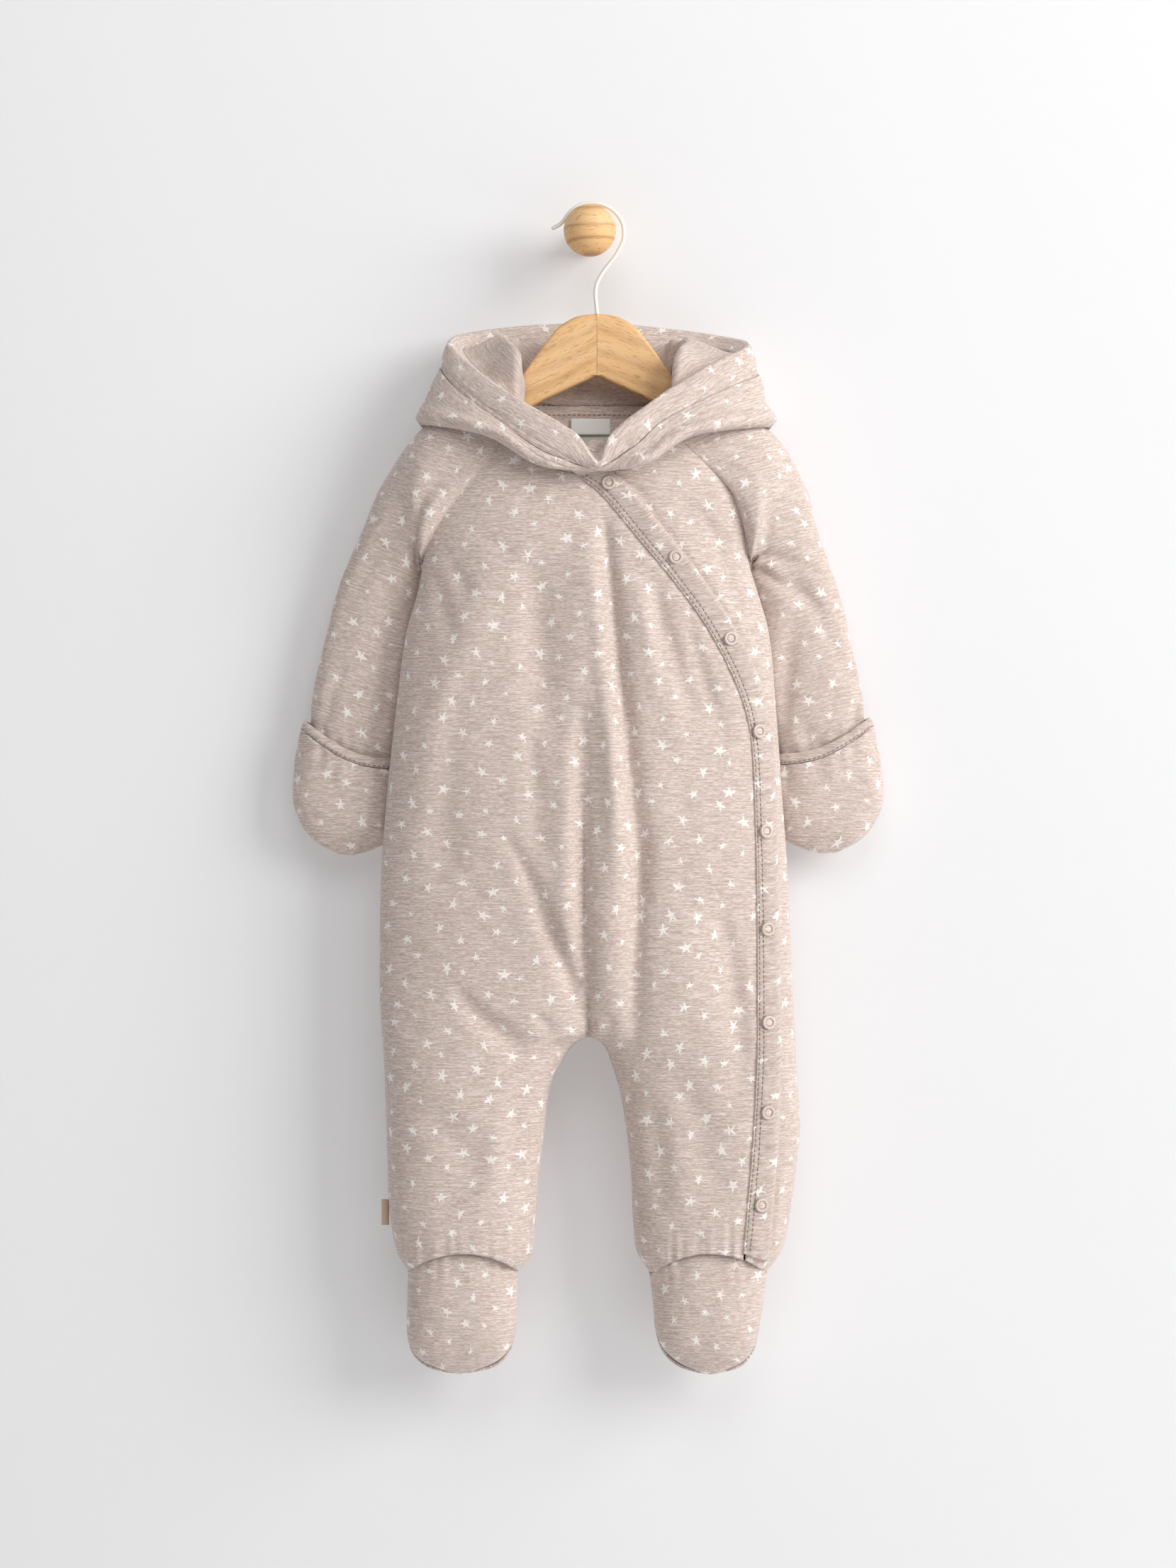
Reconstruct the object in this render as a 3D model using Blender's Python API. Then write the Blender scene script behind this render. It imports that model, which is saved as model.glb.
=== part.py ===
"""Hooded baby pramsuit on a child's wooden hanger, hooked over a ball peg on a wall.

Every size below is in millimetres and becomes metres in add_mesh.  The origin is the middle of
the peg's flat back face, +Y points into the wall, -Y is the suit's front, +Z is up and +X is the
photograph's right.  Cloth pieces are open surfaces on a grid, given their wall by a Solidify
modifier that grows inwards.
"""

import math

import bmesh
import bpy
import numpy as np
from mathutils import Vector

MM = 0.001

# ---- driving sizes -------------------------------------------------------------------------
CLOTH = 2.4            # lightly padded jersey wall
THIN = 1.2             # facing, label and hems
GAP = 0.35             # left between pieces at a seam
RAGLAN_GAP = 1.45      # the same along the slanting sleeve seams, measured sideways
SEAM_HALF = 1.35       # front and back edges stop this far from the middle plane
BAND_LIFT = 1.1        # air under the placket
UNDERLAP = 3.0         # the side panel starts this far beyond the wrap's seam
MID_Y = -44.0          # plane through both side seams
ROUND = 2.4            # exponent of the body's superellipse sections
NECK_FADE_Z = -262.0   # rows follow the neckline above this height
FOOT_FADE_Z = -640.0   # rows follow the foot's arched seam below this height
CROTCH_Z = -542.4
FOOT_Z = -701.0        # where leg meets foot at its sides
BLEND_TOP_Z = -452.0   # above this the two halves share one round section
CENTRE_X = -0.5
CENTRE_LEAN = 45.0
CENTRE_LEAN_Z = -300.0

# Side edges of the body and legs, from the armpit down.
SIDES = [
    # z, left side x, right side x
    (-120.0, -100.0, 96.0),
    (-170.0, -108.0, 104.0),
    (-221.5, -112.2, 107.0),
    (-243.0, -116.0, 113.2),
    (-268.0, -123.2, 120.3),
    (-323.0, -130.8, 125.6),
    (-383.0, -137.1, 129.9),
    (-429.0, -140.4, 133.2),
    (-507.0, -141.6, 136.6),
    (-564.0, -138.5, 139.5),
    (-604.0, -137.1, 141.8),
    (-629.0, -136.3, 139.5),
    (-658.0, -135.1, 135.6),
    (-680.0, -131.8, 131.6),
    (-692.0, -128.0, 126.0),
    (-701.0, -121.5, 118.5),
]
# Inner edges of the legs, below the crotch.
INSEAMS = [
    # z, left leg x, right leg x
    (-542.4, -0.8, -0.2),
    (-545.3, -7.2, 6.0),
    (-551.0, -13.4, 11.0),
    (-559.6, -18.6, 14.3),
    (-568.7, -23.9, 17.4),
    (-582.5, -27.7, 21.0),
    (-605.9, -30.3, 24.8),
    (-637.0, -34.1, 28.0),
    (-670.0, -36.6, 29.4),
    (-688.0, -38.2, 32.0),
    (-696.0, -43.5, 36.5),
    (-701.0, -49.0, 40.5),
]
# How far the body swells from its middle plane.
DEPTHS = [
    # z, front, back
    (-120.0, 27.0, 21.0),
    (-221.5, 35.0, 24.0),
    (-400.0, 39.0, 25.0),
    (-540.0, 36.0, 24.0),
    (-620.0, 33.0, 23.0),
    (-690.0, 32.0, 22.0),
    (-701.0, 28.0, 19.0),
]
# Raglan seams: front and back edge of each sleeve where it meets the body.
RAGLAN = [
    # z, left x, right x
    (-112.0, -44.0, 51.0),
    (-141.5, -58.0, 61.8),
    (-156.0, -66.5, 75.5),
    (-173.7, -83.0, 94.0),
    (-186.2, -93.5, 99.6),
    (-198.7, -102.0, 103.6),
    (-213.7, -109.3, 106.0),
    (-221.5, -112.2, 107.0),
]
# Front neckline, left to right.
NECKLINE = [
    # x, z
    (-110.0, -136.0),
    (-58.0, -141.9),
    (-49.5, -149.6),
    (-32.0, -158.0),
    (-11.0, -164.5),
    (6.0, -163.0),
    (27.0, -161.5),
    (50.0, -149.0),
    (61.8, -140.0),
    (110.0, -134.0),
]
BACK_NECK_Z = -112.0
# The wrap's placket band, from the neck to the foot: its seam and its free edge.
BAND = [
    # seam x, seam z, edge x, edge z
    (-8.0, -167.0, 7.5, -163.6),
    (8.5, -181.0, 20.0, -168.6),
    (32.0, -209.3, 43.5, -196.5),
    (55.6, -237.6, 68.5, -227.5),
    (79.2, -270.6, 92.5, -263.0),
    (98.0, -308.3, 112.0, -301.5),
    (107.0, -341.3, 120.5, -338.5),
    (109.8, -393.1, 123.6, -393.0),
    (111.2, -463.8, 125.6, -463.8),
    (111.4, -534.5, 126.6, -534.5),
    (108.4, -605.2, 125.0, -605.2),
    (104.5, -652.4, 121.6, -652.4),
    (101.8, -685.0, 118.0, -691.0),
]
SNAPS = [
    # x, z
    (12.7, -171.9),
    (56.9, -221.3),
    (93.2, -275.5),
    (112.0, -337.1),
    (116.7, -403.9),
    (118.0, -469.3),
    (118.6, -531.9),
    (118.0, -591.2),
    (113.6, -652.9),
]
SNAP_RADIUS = 4.75
SNAP_HOLE = 2.6
SNAP_HEIGHT = 1.4
SNAP_SEAT = 0.5        # air under a flat snap on the curved placket
# Largest folds, each a soft trough pressed in along a line.
FOLDS = [
    # top x, top z, low x, low z, half-width, depth
    (11.0, -212.0, 33.0, -408.0, 8.0, 5.5),
    (34.0, -400.0, 28.0, -566.0, 9.0, 5.0),
    (-4.0, -398.0, -1.5, -538.0, 7.0, 5.5),
    (-38.0, -455.0, -7.0, -518.0, 8.0, 3.5),
    (-36.0, -529.0, -22.0, -546.0, 6.0, 3.0),
    (70.0, -222.0, 104.0, -286.0, 6.0, 3.5),
    (40.0, -262.0, 62.0, -360.0, 8.0, 3.0),
]
# Sleeve sections below the raglan seam, left then right.
SLEEVES = {
    "left": [
        # outer x, outer z, inner x, inner z, middle y, half depth
        (-108.0, -128.5, -113.0, -222.0, -41.0, 26.0),
        (-139.8, -168.2, -113.8, -223.2, -34.0, 20.0),
        (-158.1, -208.6, -114.0, -236.0, -28.0, 17.0),
        (-172.5, -247.5, -116.5, -266.0, -25.0, 15.5),
        (-184.0, -293.0, -122.0, -305.0, -24.5, 15.0),
        (-189.8, -326.5, -131.0, -342.0, -24.5, 13.6),
        (-189.0, -341.0, -134.5, -356.0, -24.5, 11.0),
    ],
    "right": [
        (116.0, -129.8, 108.0, -222.0, -41.0, 26.0),
        (142.2, -162.9, 109.0, -223.2, -34.0, 20.0),
        (158.8, -212.4, 109.5, -236.0, -28.0, 17.0),
        (172.0, -254.0, 113.5, -268.0, -25.0, 15.5),
        (181.5, -296.0, 117.0, -306.0, -24.5, 15.0),
        (186.6, -324.0, 125.2, -340.0, -24.5, 13.6),
        (186.0, -338.5, 128.8, -353.0, -24.5, 11.0),
    ],
}
SHOULDER = {"left": (-52.0, MID_Y, -94.0), "right": (60.0, MID_Y, -94.0)}
# Mitt sections from the hem's top to the tip.
MITTS = {
    "left": [
        # outer x, outer z, inner x, inner z, half depth
        (-193.2, -329.4, -128.6, -347.5, 15.2),
        (-196.0, -336.5, -128.0, -354.5, 17.8),
        (-200.5, -357.0, -127.5, -374.0, 17.0),
        (-201.8, -378.0, -128.5, -393.0, 16.0),
        (-198.0, -395.5, -132.0, -404.0, 13.5),
        (-189.5, -409.0, -141.5, -413.0, 9.5),
        (-172.5, -419.0, -157.5, -420.0, 4.0),
    ],
    "right": [
        (190.0, -327.0, 122.6, -344.5, 15.2),
        (192.8, -334.0, 122.4, -351.5, 17.8),
        (197.2, -354.0, 122.6, -371.0, 17.0),
        (199.8, -377.0, 124.0, -391.0, 16.0),
        (196.0, -394.0, 128.0, -403.0, 13.5),
        (186.8, -408.0, 137.5, -412.0, 9.5),
        (169.5, -418.0, 153.0, -418.6, 4.0),
    ],
}
MITT_Y = -24.5
MITT_AROUND = 16
# Feet: outer and inner edge from the leg's end to the toe, with half depths.
FEET = {
    "left": [
        # outer x, inner x, z, half depth
        (-120.2, -49.6, -703.4, 25.0),
        (-121.0, -50.8, -720.0, 24.0),
        (-121.3, -51.5, -738.0, 22.0),
        (-118.8, -55.0, -753.0, 18.0),
        (-110.5, -63.5, -762.5, 12.0),
        (-98.0, -77.0, -766.6, 6.5),
        (-89.0, -86.0, -767.8, 0.8),
    ],
    "right": [
        (116.8, 39.4, -703.4, 25.0),
        (115.0, 44.4, -720.0, 24.0),
        (112.2, 45.8, -738.0, 22.0),
        (109.0, 50.2, -753.0, 18.0),
        (102.0, 59.5, -762.5, 12.0),
        (90.5, 71.5, -766.8, 6.5),
        (82.5, 79.5, -768.2, 0.8),
    ],
}
FOOT_Y = -46.0
ARCH_RISE = 15.5       # how far the foot's front seam arches up
ARCH_HALF = 37.0       # half the arch's width
LEG_CENTRES = (-84.5, 80.0)
# Hood stations round the neck, from the front V round the left, the back and the right.
HOOD = [
    # rim x, y, z, band x, y, z, fold x, y, z, neck x, y, z
    (5.0, -95.0, -160.0, 2.5, -90.0, -161.5, 4.0, -87.0, -163.0, 4.0, -85.0, -158.0),
    (-10.3, -93.0, -140.6, -27.5, -92.0, -150.0, -31.0, -90.0, -156.0, -31.0, -84.0, -154.0),
    (-48.6, -82.0, -116.5, -56.0, -84.0, -135.0, -62.0, -87.0, -141.0, -58.0, -80.0, -133.0),
    (-78.8, -63.0, -93.7, -84.8, -67.0, -112.5, -88.0, -76.0, -133.0, -72.0, -64.0, -111.0),
    (-94.5, -40.0, -74.3, -99.5, -44.0, -92.8, -114.5, -46.0, -127.5, -75.0, -44.0, -99.4),
    (-78.0, -14.0, -65.0, -84.0, -8.5, -90.0, -90.0, -5.0, -140.0, -58.0, -14.0, -106.6),
    (-37.0, -7.0, -59.5, -40.0, -5.0, -90.0, -42.0, -4.0, -158.0, -40.0, -16.5, -109.0),
    (5.0, -5.5, -58.0, 5.0, -5.0, -92.0, 5.0, -4.0, -164.0, 4.0, -16.5, -109.0),
    (48.0, -7.0, -61.5, 50.0, -5.0, -90.0, 52.0, -4.0, -158.0, 48.0, -16.5, -109.0),
    (90.0, -14.0, -68.0, 96.0, -8.5, -92.0, 100.0, -5.0, -140.0, 66.0, -14.0, -106.0),
    (107.2, -40.0, -76.4, 112.5, -44.0, -96.8, 122.5, -46.0, -129.0, 84.0, -44.0, -99.8),
    (80.2, -66.0, -93.3, 88.0, -68.0, -110.0, 92.7, -76.0, -133.7, 80.0, -64.0, -111.0),
    (42.9, -84.0, -118.2, 50.0, -84.0, -131.0, 62.0, -87.0, -140.5, 62.0, -80.0, -132.0),
    (15.0, -93.0, -140.9, 28.0, -91.0, -149.7, 36.0, -90.0, -157.0, 32.0, -84.0, -154.0),
]
# The plain lining inside the same stations: the dip behind the rim, the bunched ridge, the neck.
LINING = [
    # dip x, y, z, ridge x, y, z, neck x, y, z
    (4.0, -83.0, -151.0, 4.0, -79.0, -146.0, 4.0, -70.5, -152.0),
    (-13.0, -83.0, -134.0, -16.0, -78.0, -137.0, -22.0, -68.0, -148.0),
    (-48.0, -68.0, -112.0, -37.0, -72.0, -117.0, -40.0, -64.0, -130.0),
    (-72.0, -54.0, -98.0, -49.0, -62.0, -84.0, -45.0, -56.0, -106.0),
    (-83.0, -38.0, -82.0, -59.0, -38.0, -71.0, -50.0, -38.0, -88.0),
    (-70.0, -18.0, -76.0, -50.0, -26.0, -72.0, -42.0, -25.0, -98.0),
    (-35.0, -12.0, -72.0, -32.0, -21.0, -75.0, -28.0, -22.5, -105.0),
    (4.0, -10.5, -70.0, 4.0, -20.0, -75.0, 4.0, -22.5, -106.0),
    (45.0, -12.0, -73.0, 42.0, -21.0, -75.0, 36.0, -22.5, -105.0),
    (80.0, -18.0, -78.0, 57.0, -26.0, -73.0, 50.0, -25.0, -98.0),
    (95.0, -38.0, -84.0, 66.0, -38.0, -73.5, 58.0, -38.0, -88.0),
    (72.0, -56.0, -97.0, 60.0, -62.0, -85.0, 58.5, -56.0, -106.0),
    (44.0, -70.0, -113.0, 46.0, -72.0, -116.0, 48.0, -64.0, -130.0),
    (16.0, -83.0, -134.0, 24.0, -79.0, -137.0, 30.0, -68.0, -148.0),
]
# Hanger: half outline of one arm, from the centre top round the tip to the centre underside.
HANGER_X = 4.8
HANGER_Y = -45.0
HANGER_THICK = 11.0
ARM = [
    # distance out, z
    (0.2, -55.8),
    (8.0, -56.6),
    (15.8, -58.6),
    (25.8, -64.8),
    (33.0, -73.2),
    (41.5, -84.6),
    (49.5, -96.1),
    (60.0, -106.0),
    (76.0, -118.0),
    (93.0, -130.0),
    (103.0, -137.5),
    (107.0, -143.0),
    (104.5, -149.0),
    (96.0, -147.5),
    (80.0, -140.0),
    (62.0, -129.5),
    (40.0, -116.5),
    (20.5, -107.0),
    (0.2, -97.5),
]
WIRE = 2.8
HOOK_SEAT_Z = -56.0    # the wire enters the bevel between the two arms
BALL_Y = -50.0
BALL_RADIUS = 17.6
PEG_RADIUS = 9.5
HOOK = [
    # x, z
    (4.8, -56.0),
    (4.8, -35.1),
    (8.6, -27.9),
    (18.2, -15.1),
    (22.9, -4.1),
    (21.0, 7.9),
    (14.3, 15.2),
    (0.0, 18.9),
    (-11.5, 15.6),
    (-18.2, 9.4),
    (-24.8, 2.1),
]
LABEL = {"x": 0.5, "z": -130.0, "width": 27.0, "height": 11.0}
TAB = {"x": -135.3, "z": -661.0, "reach": 4.6, "height": 17.0, "thick": 1.6}

COLOURS = {
    # name: (red, green, blue), roughness
    "jersey": ((0.56, 0.48, 0.44), 0.92),
    "lining": ((0.78, 0.74, 0.68), 0.9),
    "wood": ((0.80, 0.52, 0.27), 0.55),
    "cream": ((0.86, 0.83, 0.76), 0.4),
    "snap": ((0.62, 0.52, 0.47), 0.35),
    "tan": ((0.55, 0.38, 0.25), 0.7),
    "white": ((0.9, 0.9, 0.88), 0.8),
}


# ---- curves read from the tables -----------------------------------------------------------
def column(table, index):
    """One column of a table as an array."""
    return np.array([row[index] for row in table], float)


def down(table, index, z):
    """Column `index` at height z, joined smoothly between the table's rows."""
    heights = column(table, 0)[::-1]
    return smooth_read(heights, column(table, index)[::-1], z)


def smooth_read(knots, values, at):
    """Cubic Hermite reading whose slope at each row is the mean of its two neighbours' slopes."""
    at = np.clip(np.asarray(at, float), knots[0], knots[-1])
    steps = np.diff(knots)
    slopes = np.diff(values) / steps
    tangents = np.concatenate([slopes[:1], (slopes[:-1] + slopes[1:]) / 2, slopes[-1:]])
    flat = np.concatenate([[False], slopes[:-1] * slopes[1:] <= 0, [False]])
    tangents[flat] = 0.0
    k = np.clip(np.searchsorted(knots, at, side="right") - 1, 0, len(steps) - 1)
    t = (at - knots[k]) / steps[k]
    h = steps[k]
    return (
        values[k] * (1 + 2 * t) * (1 - t) ** 2
        + tangents[k] * h * t * (1 - t) ** 2
        + values[k + 1] * t**2 * (3 - 2 * t)
        + tangents[k + 1] * h * t**2 * (t - 1)
    )


def along(points, at):
    """A smooth curve through rows of points, read at positions from 0 to 1."""
    points = np.asarray(points, float)
    knots = np.linspace(0.0, 1.0, len(points))
    return np.stack([smooth_read(knots, points[:, i], at) for i in range(points.shape[1])], -1)


def around(points, at):
    """The same for a closed ring: position 1 is position 0 again."""
    points = np.asarray(points, float)
    wrapped = np.concatenate([points[-2:], points, points[:3]])
    knots = (np.arange(len(wrapped)) - 2) / len(points)
    at = np.mod(at, 1.0)
    return np.stack([smooth_read(knots, wrapped[:, i], at) for i in range(points.shape[1])], -1)


# ---- the body's surface --------------------------------------------------------------------
def dome(t):
    """Height of the superellipse over t, which runs from -1 to 1."""
    return (1 - np.minimum(np.abs(t), 1.0) ** ROUND) ** (1 / ROUND)


def body_swell(x, z):
    """How full the body is at x, z: 1 over its middle, 0 at the side seams and the inseams."""
    left = down(SIDES, 1, z)
    right = down(SIDES, 2, z)
    on_left = x < CENTRE_X
    side = np.where(on_left, left, right)
    torso = dome((x - CENTRE_X) / (side - CENTRE_X))
    inseam = np.where(on_left, down(INSEAMS, 1, z), down(INSEAMS, 2, z))
    leg = dome((2 * x - side - inseam) / (side - inseam))
    drop = np.clip((BLEND_TOP_Z - z) / (BLEND_TOP_Z - CROTCH_Z), 0.0, 1.0)
    share = 1 - np.sqrt(np.maximum(1 - drop**2, 0.0))
    return torso * (1 - share) + leg * share


def folds_depth(x, z):
    """Sum of the troughs: each is a bell across its line that fades towards both ends."""
    total = np.zeros_like(x)
    for top_x, top_z, low_x, low_z, width, depth in FOLDS:
        run = np.array([low_x - top_x, low_z - top_z])
        length = np.hypot(*run)
        run = run / length
        s = ((x - top_x) * run[0] + (z - top_z) * run[1]) / length
        off = (x - top_x) * run[1] - (z - top_z) * run[0]
        ends = np.clip(4 * s * (1 - s), 0.0, 1.0)
        total += depth * np.sqrt(ends) * np.exp(-((off / width) ** 2))
    return total


def crotch_wall(x, z):
    """A wall's thickness near the crotch, where front and back meet edge to edge."""
    off = np.hypot(x - CENTRE_X, (z - CROTCH_Z) / 2)
    return 1.3 * CLOTH * np.exp(-((off / 9.0) ** 2))


def front_y(x, z):
    """Depth of the front's outer surface."""
    swell = body_swell(x, z)
    depth = (down(DEPTHS, 1, z) - folds_depth(x, z)) * swell
    return MID_Y - SEAM_HALF - depth - crotch_wall(x, z)


def back_y(x, z):
    """Depth of the back's outer surface."""
    return MID_Y + SEAM_HALF + down(DEPTHS, 2, z) * body_swell(x, z) + crotch_wall(x, z)


def front_slopes(x, z):
    """How steeply the front falls away along x and along z."""
    along_x = np.clip((front_y(x + 1.0, z) - front_y(x - 1.0, z)) / 2, -3.0, 3.0)
    along_z = np.clip((front_y(x, z + 1.0) - front_y(x, z - 1.0)) / 2, -3.0, 3.0)
    return along_x, along_z


def lifted(x, z, height):
    """The front's points, moved straight out of the cloth."""
    along_x, along_z = front_slopes(x, z)
    out = np.stack([along_x, -np.ones_like(x), along_z], -1)
    out /= np.linalg.norm(out, axis=-1, keepdims=True)
    return np.stack([x, front_y(x, z), z], -1) + height * out, out


def side_x(column_index, z):
    """The panel's outer edge: the raglan seam above the armpit and the side seam below it."""
    sign = 1.0 if column_index == 1 else -1.0
    raglan = down(RAGLAN, column_index, z) + sign * RAGLAN_GAP
    return np.where(z > RAGLAN[-1][0], raglan, down(SIDES, column_index, z))


def arch(x, z):
    """How far the foot's seam lifts the row at x, fading out up the leg."""
    centre = np.where(x < CENTRE_X, LEG_CENTRES[0], LEG_CENTRES[1])
    lift = ARCH_RISE * np.clip(1 - ((x - centre) / ARCH_HALF) ** 2, 0.0, 1.0) ** 0.75
    fade = np.clip((FOOT_FADE_Z - z) / (FOOT_FADE_Z - FOOT_Z), 0.0, 1.0)
    return lift * fade**1.5


def neck_shift(x, z, top_z):
    """How far the neckline lifts the row at x, fading out down the body."""
    line = smooth_read(column(NECKLINE, 0), column(NECKLINE, 1), x)
    fade = np.clip((z - NECK_FADE_Z) / (top_z - NECK_FADE_Z), 0.0, 1.0)
    return (line - top_z) * fade


def panel_rows(left_edge, right_edge, fractions, heights, top_z, warp):
    """A grid of x, z between two edges; each row bends with the neckline and the foot's seam."""
    row_z = np.repeat(heights[:, None], len(fractions), 1)
    z = row_z.copy()
    for _ in range(SETTLE_STEPS):
        left = left_edge(z)
        right = right_edge(z)
        x = left + (right - left) * fractions[None, :]
        z = (z + row_z + warp(x, row_z, top_z)) / 2
    return x, z


def edge_spaced(count, tight=0.85):
    """Fractions from 0 to 1, closer together at both ends."""
    u = np.linspace(0.0, 1.0, count)
    return u * (1 - tight) + tight * (1 - np.cos(math.pi * u)) / 2


def one_side_spaced(count, tight=0.8):
    """Fractions from 0 to 1, closer together at 0."""
    u = np.linspace(0.0, 1.0, count)
    return u * (1 - tight) + tight * (1 - np.cos(math.pi * u / 2))


# ---- making objects ------------------------------------------------------------------------
def material(name):
    found = bpy.data.materials.get(name)
    if found:
        return found
    (red, green, blue), rough = COLOURS[name]
    made = bpy.data.materials.new(name)
    made.use_nodes = True
    shader = made.node_tree.nodes["Principled BSDF"]
    shader.inputs["Base Color"].default_value = (red, green, blue, 1.0)
    shader.inputs["Roughness"].default_value = rough
    shader.inputs["Metallic"].default_value = 0.0
    return made


def add_mesh(name, points, faces, finish, wall=0.0):
    """A mesh from millimetre points; `wall` gives an open surface its thickness, inwards."""
    mesh = bpy.data.meshes.new(name)
    mesh.from_pydata([tuple(p) for p in np.asarray(points, float) * MM], [], faces)
    mesh.update()
    mesh.shade_smooth()
    mesh.materials.append(material(finish))
    made = bpy.data.objects.new(name, mesh)
    bpy.context.collection.objects.link(made)
    if wall:
        solidify = made.modifiers.new("wall", "SOLIDIFY")
        solidify.thickness = wall * MM
        solidify.offset = -1.0
        solidify.use_rim = True
        solidify.use_even_offset = False
    return made


def grid_faces(rows, cols, ring=False, flip=False):
    """Quads over a grid of points stored row by row; a ring joins its last column to its first."""
    faces = []
    for r in range(rows - 1):
        for c in range(cols if ring else cols - 1):
            d = (c + 1) % cols
            quad = (r * cols + c, (r + 1) * cols + c, (r + 1) * cols + d, r * cols + d)
            faces.append(quad[::-1] if flip else quad)
    return faces


def add_grid(name, points, finish, wall, ring=False, flip=False):
    rows, cols = points.shape[:2]
    return add_mesh(name, points.reshape(-1, 3), grid_faces(rows, cols, ring, flip), finish, wall)


# ---- body panels ---------------------------------------------------------------------------
SETTLE_STEPS = 60         # rounds of averaging that settle a row onto its warped place
TORSO_ROWS = 18
LEG_ROWS = 10


def body_heights(top_z, low_z):
    """Row heights down the torso, closer together near the neck, and down the legs."""
    torso = top_z + (CROTCH_Z - top_z) * np.linspace(0.0, 1.0, TORSO_ROWS) ** 1.3
    leg = np.linspace(CROTCH_Z, low_z, LEG_ROWS)
    return torso, leg


def body_warp(x, z, top_z):
    return neck_shift(x, z, top_z) + arch(x, z)


def back_warp(x, z, top_z):
    """The back's rows stay level."""
    return np.zeros_like(x)


def inseam_edge(column_index):
    def edge(z):
        return down(INSEAMS, column_index, z)
    return edge


def centre_edge(z):
    """The line both halves share, leaning left above the chest to stay clear of the wrap's seam."""
    rise = np.clip((z - CENTRE_LEAN_Z) / (max(column(NECKLINE, 1)) - CENTRE_LEAN_Z), 0.0, 1.0)
    return CENTRE_X - CENTRE_LEAN * rise


def band_seam_edge(offset):
    """The wrap's seam as an edge, moved sideways."""
    seam_z = column(BAND, 1)[::-1]
    seam_x = column(BAND, 0)[::-1]

    def edge(z):
        return smooth_read(seam_z, seam_x, z) + offset
    return edge


def two_leg_panel(name, left_edge, right_edge, top_z, cols, surface, warp, flip):
    """A panel with two legs: its halves share the centre line down to the crotch."""
    torso, leg = body_heights(top_z, FOOT_Z)
    left_u = one_side_spaced(cols[0])
    right_u = 1 - one_side_spaced(cols[1])[::-1]
    points = []
    faces = []

    def add_rows(x, z):
        start = len(points)
        y = surface(x, z)
        points.extend(np.stack([x, y, z], -1).reshape(-1, 3))
        return start

    wide = cols[0] + cols[1] - 1
    xl, zl = panel_rows(left_edge, centre_edge, left_u, torso, top_z, warp)
    xr, zr = panel_rows(centre_edge, right_edge, right_u, torso, top_z, warp)
    add_rows(np.concatenate([xl, xr[:, 1:]], 1), np.concatenate([zl, zr[:, 1:]], 1))
    faces += grid_faces(TORSO_ROWS, wide)
    last = (TORSO_ROWS - 1) * wide
    blend = np.linspace(0.0, 1.0, LEG_ROWS)[:, None]
    for side in (0, 1):
        count = cols[side]
        near_u = left_u if side == 0 else right_u
        fractions = near_u * (1 - blend) + edge_spaced(count) * blend
        edges = (left_edge, inseam_edge(1)) if side == 0 else (inseam_edge(2), right_edge)
        row_z = np.repeat(leg[:, None], count, 1)
        z = row_z.copy()
        for _ in range(SETTLE_STEPS):
            low, high = edges[0](z), edges[1](z)
            x = low + (high - low) * fractions
            z = (z + row_z + warp(x, row_z, top_z)) / 2
        start = add_rows(x[1:], z[1:])
        first = last if side == 0 else last + cols[0] - 1
        for c in range(count - 1):
            faces.append((first + c, start + c, start + c + 1, first + c + 1))
        rest = grid_faces(LEG_ROWS - 1, count)
        faces += [tuple(start + i for i in quad) for quad in rest]
    if flip:
        faces = [quad[::-1] for quad in faces]
    return add_mesh(name, points, faces, "jersey", CLOTH)


def build_front_main():
    top_z = min(column(NECKLINE, 1))
    return two_leg_panel(
        "front_main", lambda z: side_x(1, z), band_seam_edge(-GAP / 2), top_z,
        (11, 11), front_y, body_warp, False)


def build_back():
    return two_leg_panel(
        "back", lambda z: side_x(1, z), lambda z: side_x(2, z), BACK_NECK_Z,
        (7, 7), back_y, back_warp, True)


def build_front_side():
    """The narrow panel under the wrap, whose inner edge lies just under the placket's seam."""
    top_z = min(column(NECKLINE, 1))
    torso, leg = body_heights(top_z, FOOT_Z)
    heights = np.concatenate([torso, leg[1:]])
    fractions = 1 - one_side_spaced(6)[::-1]
    x, z = panel_rows(band_seam_edge(UNDERLAP), lambda h: side_x(2, h), fractions,
                      heights, top_z, body_warp)
    return add_grid("front_side", np.stack([x, front_y(x, z), z], -1), "jersey", CLOTH)


def band_point(at, across):
    """A point of the placket: `at` runs down it and `across` from its seam to its free edge."""
    rows = along(BAND, at)
    x = rows[:, 0] + (rows[:, 2] - rows[:, 0]) * across
    z = rows[:, 1] + (rows[:, 3] - rows[:, 1]) * across
    return x, z


def build_placket_band():
    at = np.linspace(0.0, 1.0, 36)
    lines = []
    for across in (0.0, 0.5, 1.0):
        x, z = band_point(at, across)
        lines.append(lifted(x, z, BAND_LIFT + CLOTH)[0])
    return add_grid("placket_band", np.stack(lines, 1), "jersey", CLOTH)


def build_snaps():
    for number, (x, z) in enumerate(SNAPS, 1):
        place, normal = lifted(np.array(x), np.array(z), BAND_LIFT + CLOTH + SNAP_SEAT)
        profile = [
            (0.0, 0.0), (SNAP_RADIUS, 0.0), (SNAP_RADIUS, 0.7), (4.1, SNAP_HEIGHT),
            (3.2, SNAP_HEIGHT), (SNAP_HOLE, 0.9), (0.0, 0.9),
        ]
        made = turned("snap_%d" % number, profile, 16, "snap")
        made.rotation_mode = "QUATERNION"
        made.rotation_quaternion = Vector((0, 0, 1)).rotation_difference(Vector(normal))
        made.location = Vector(place) * MM


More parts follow.
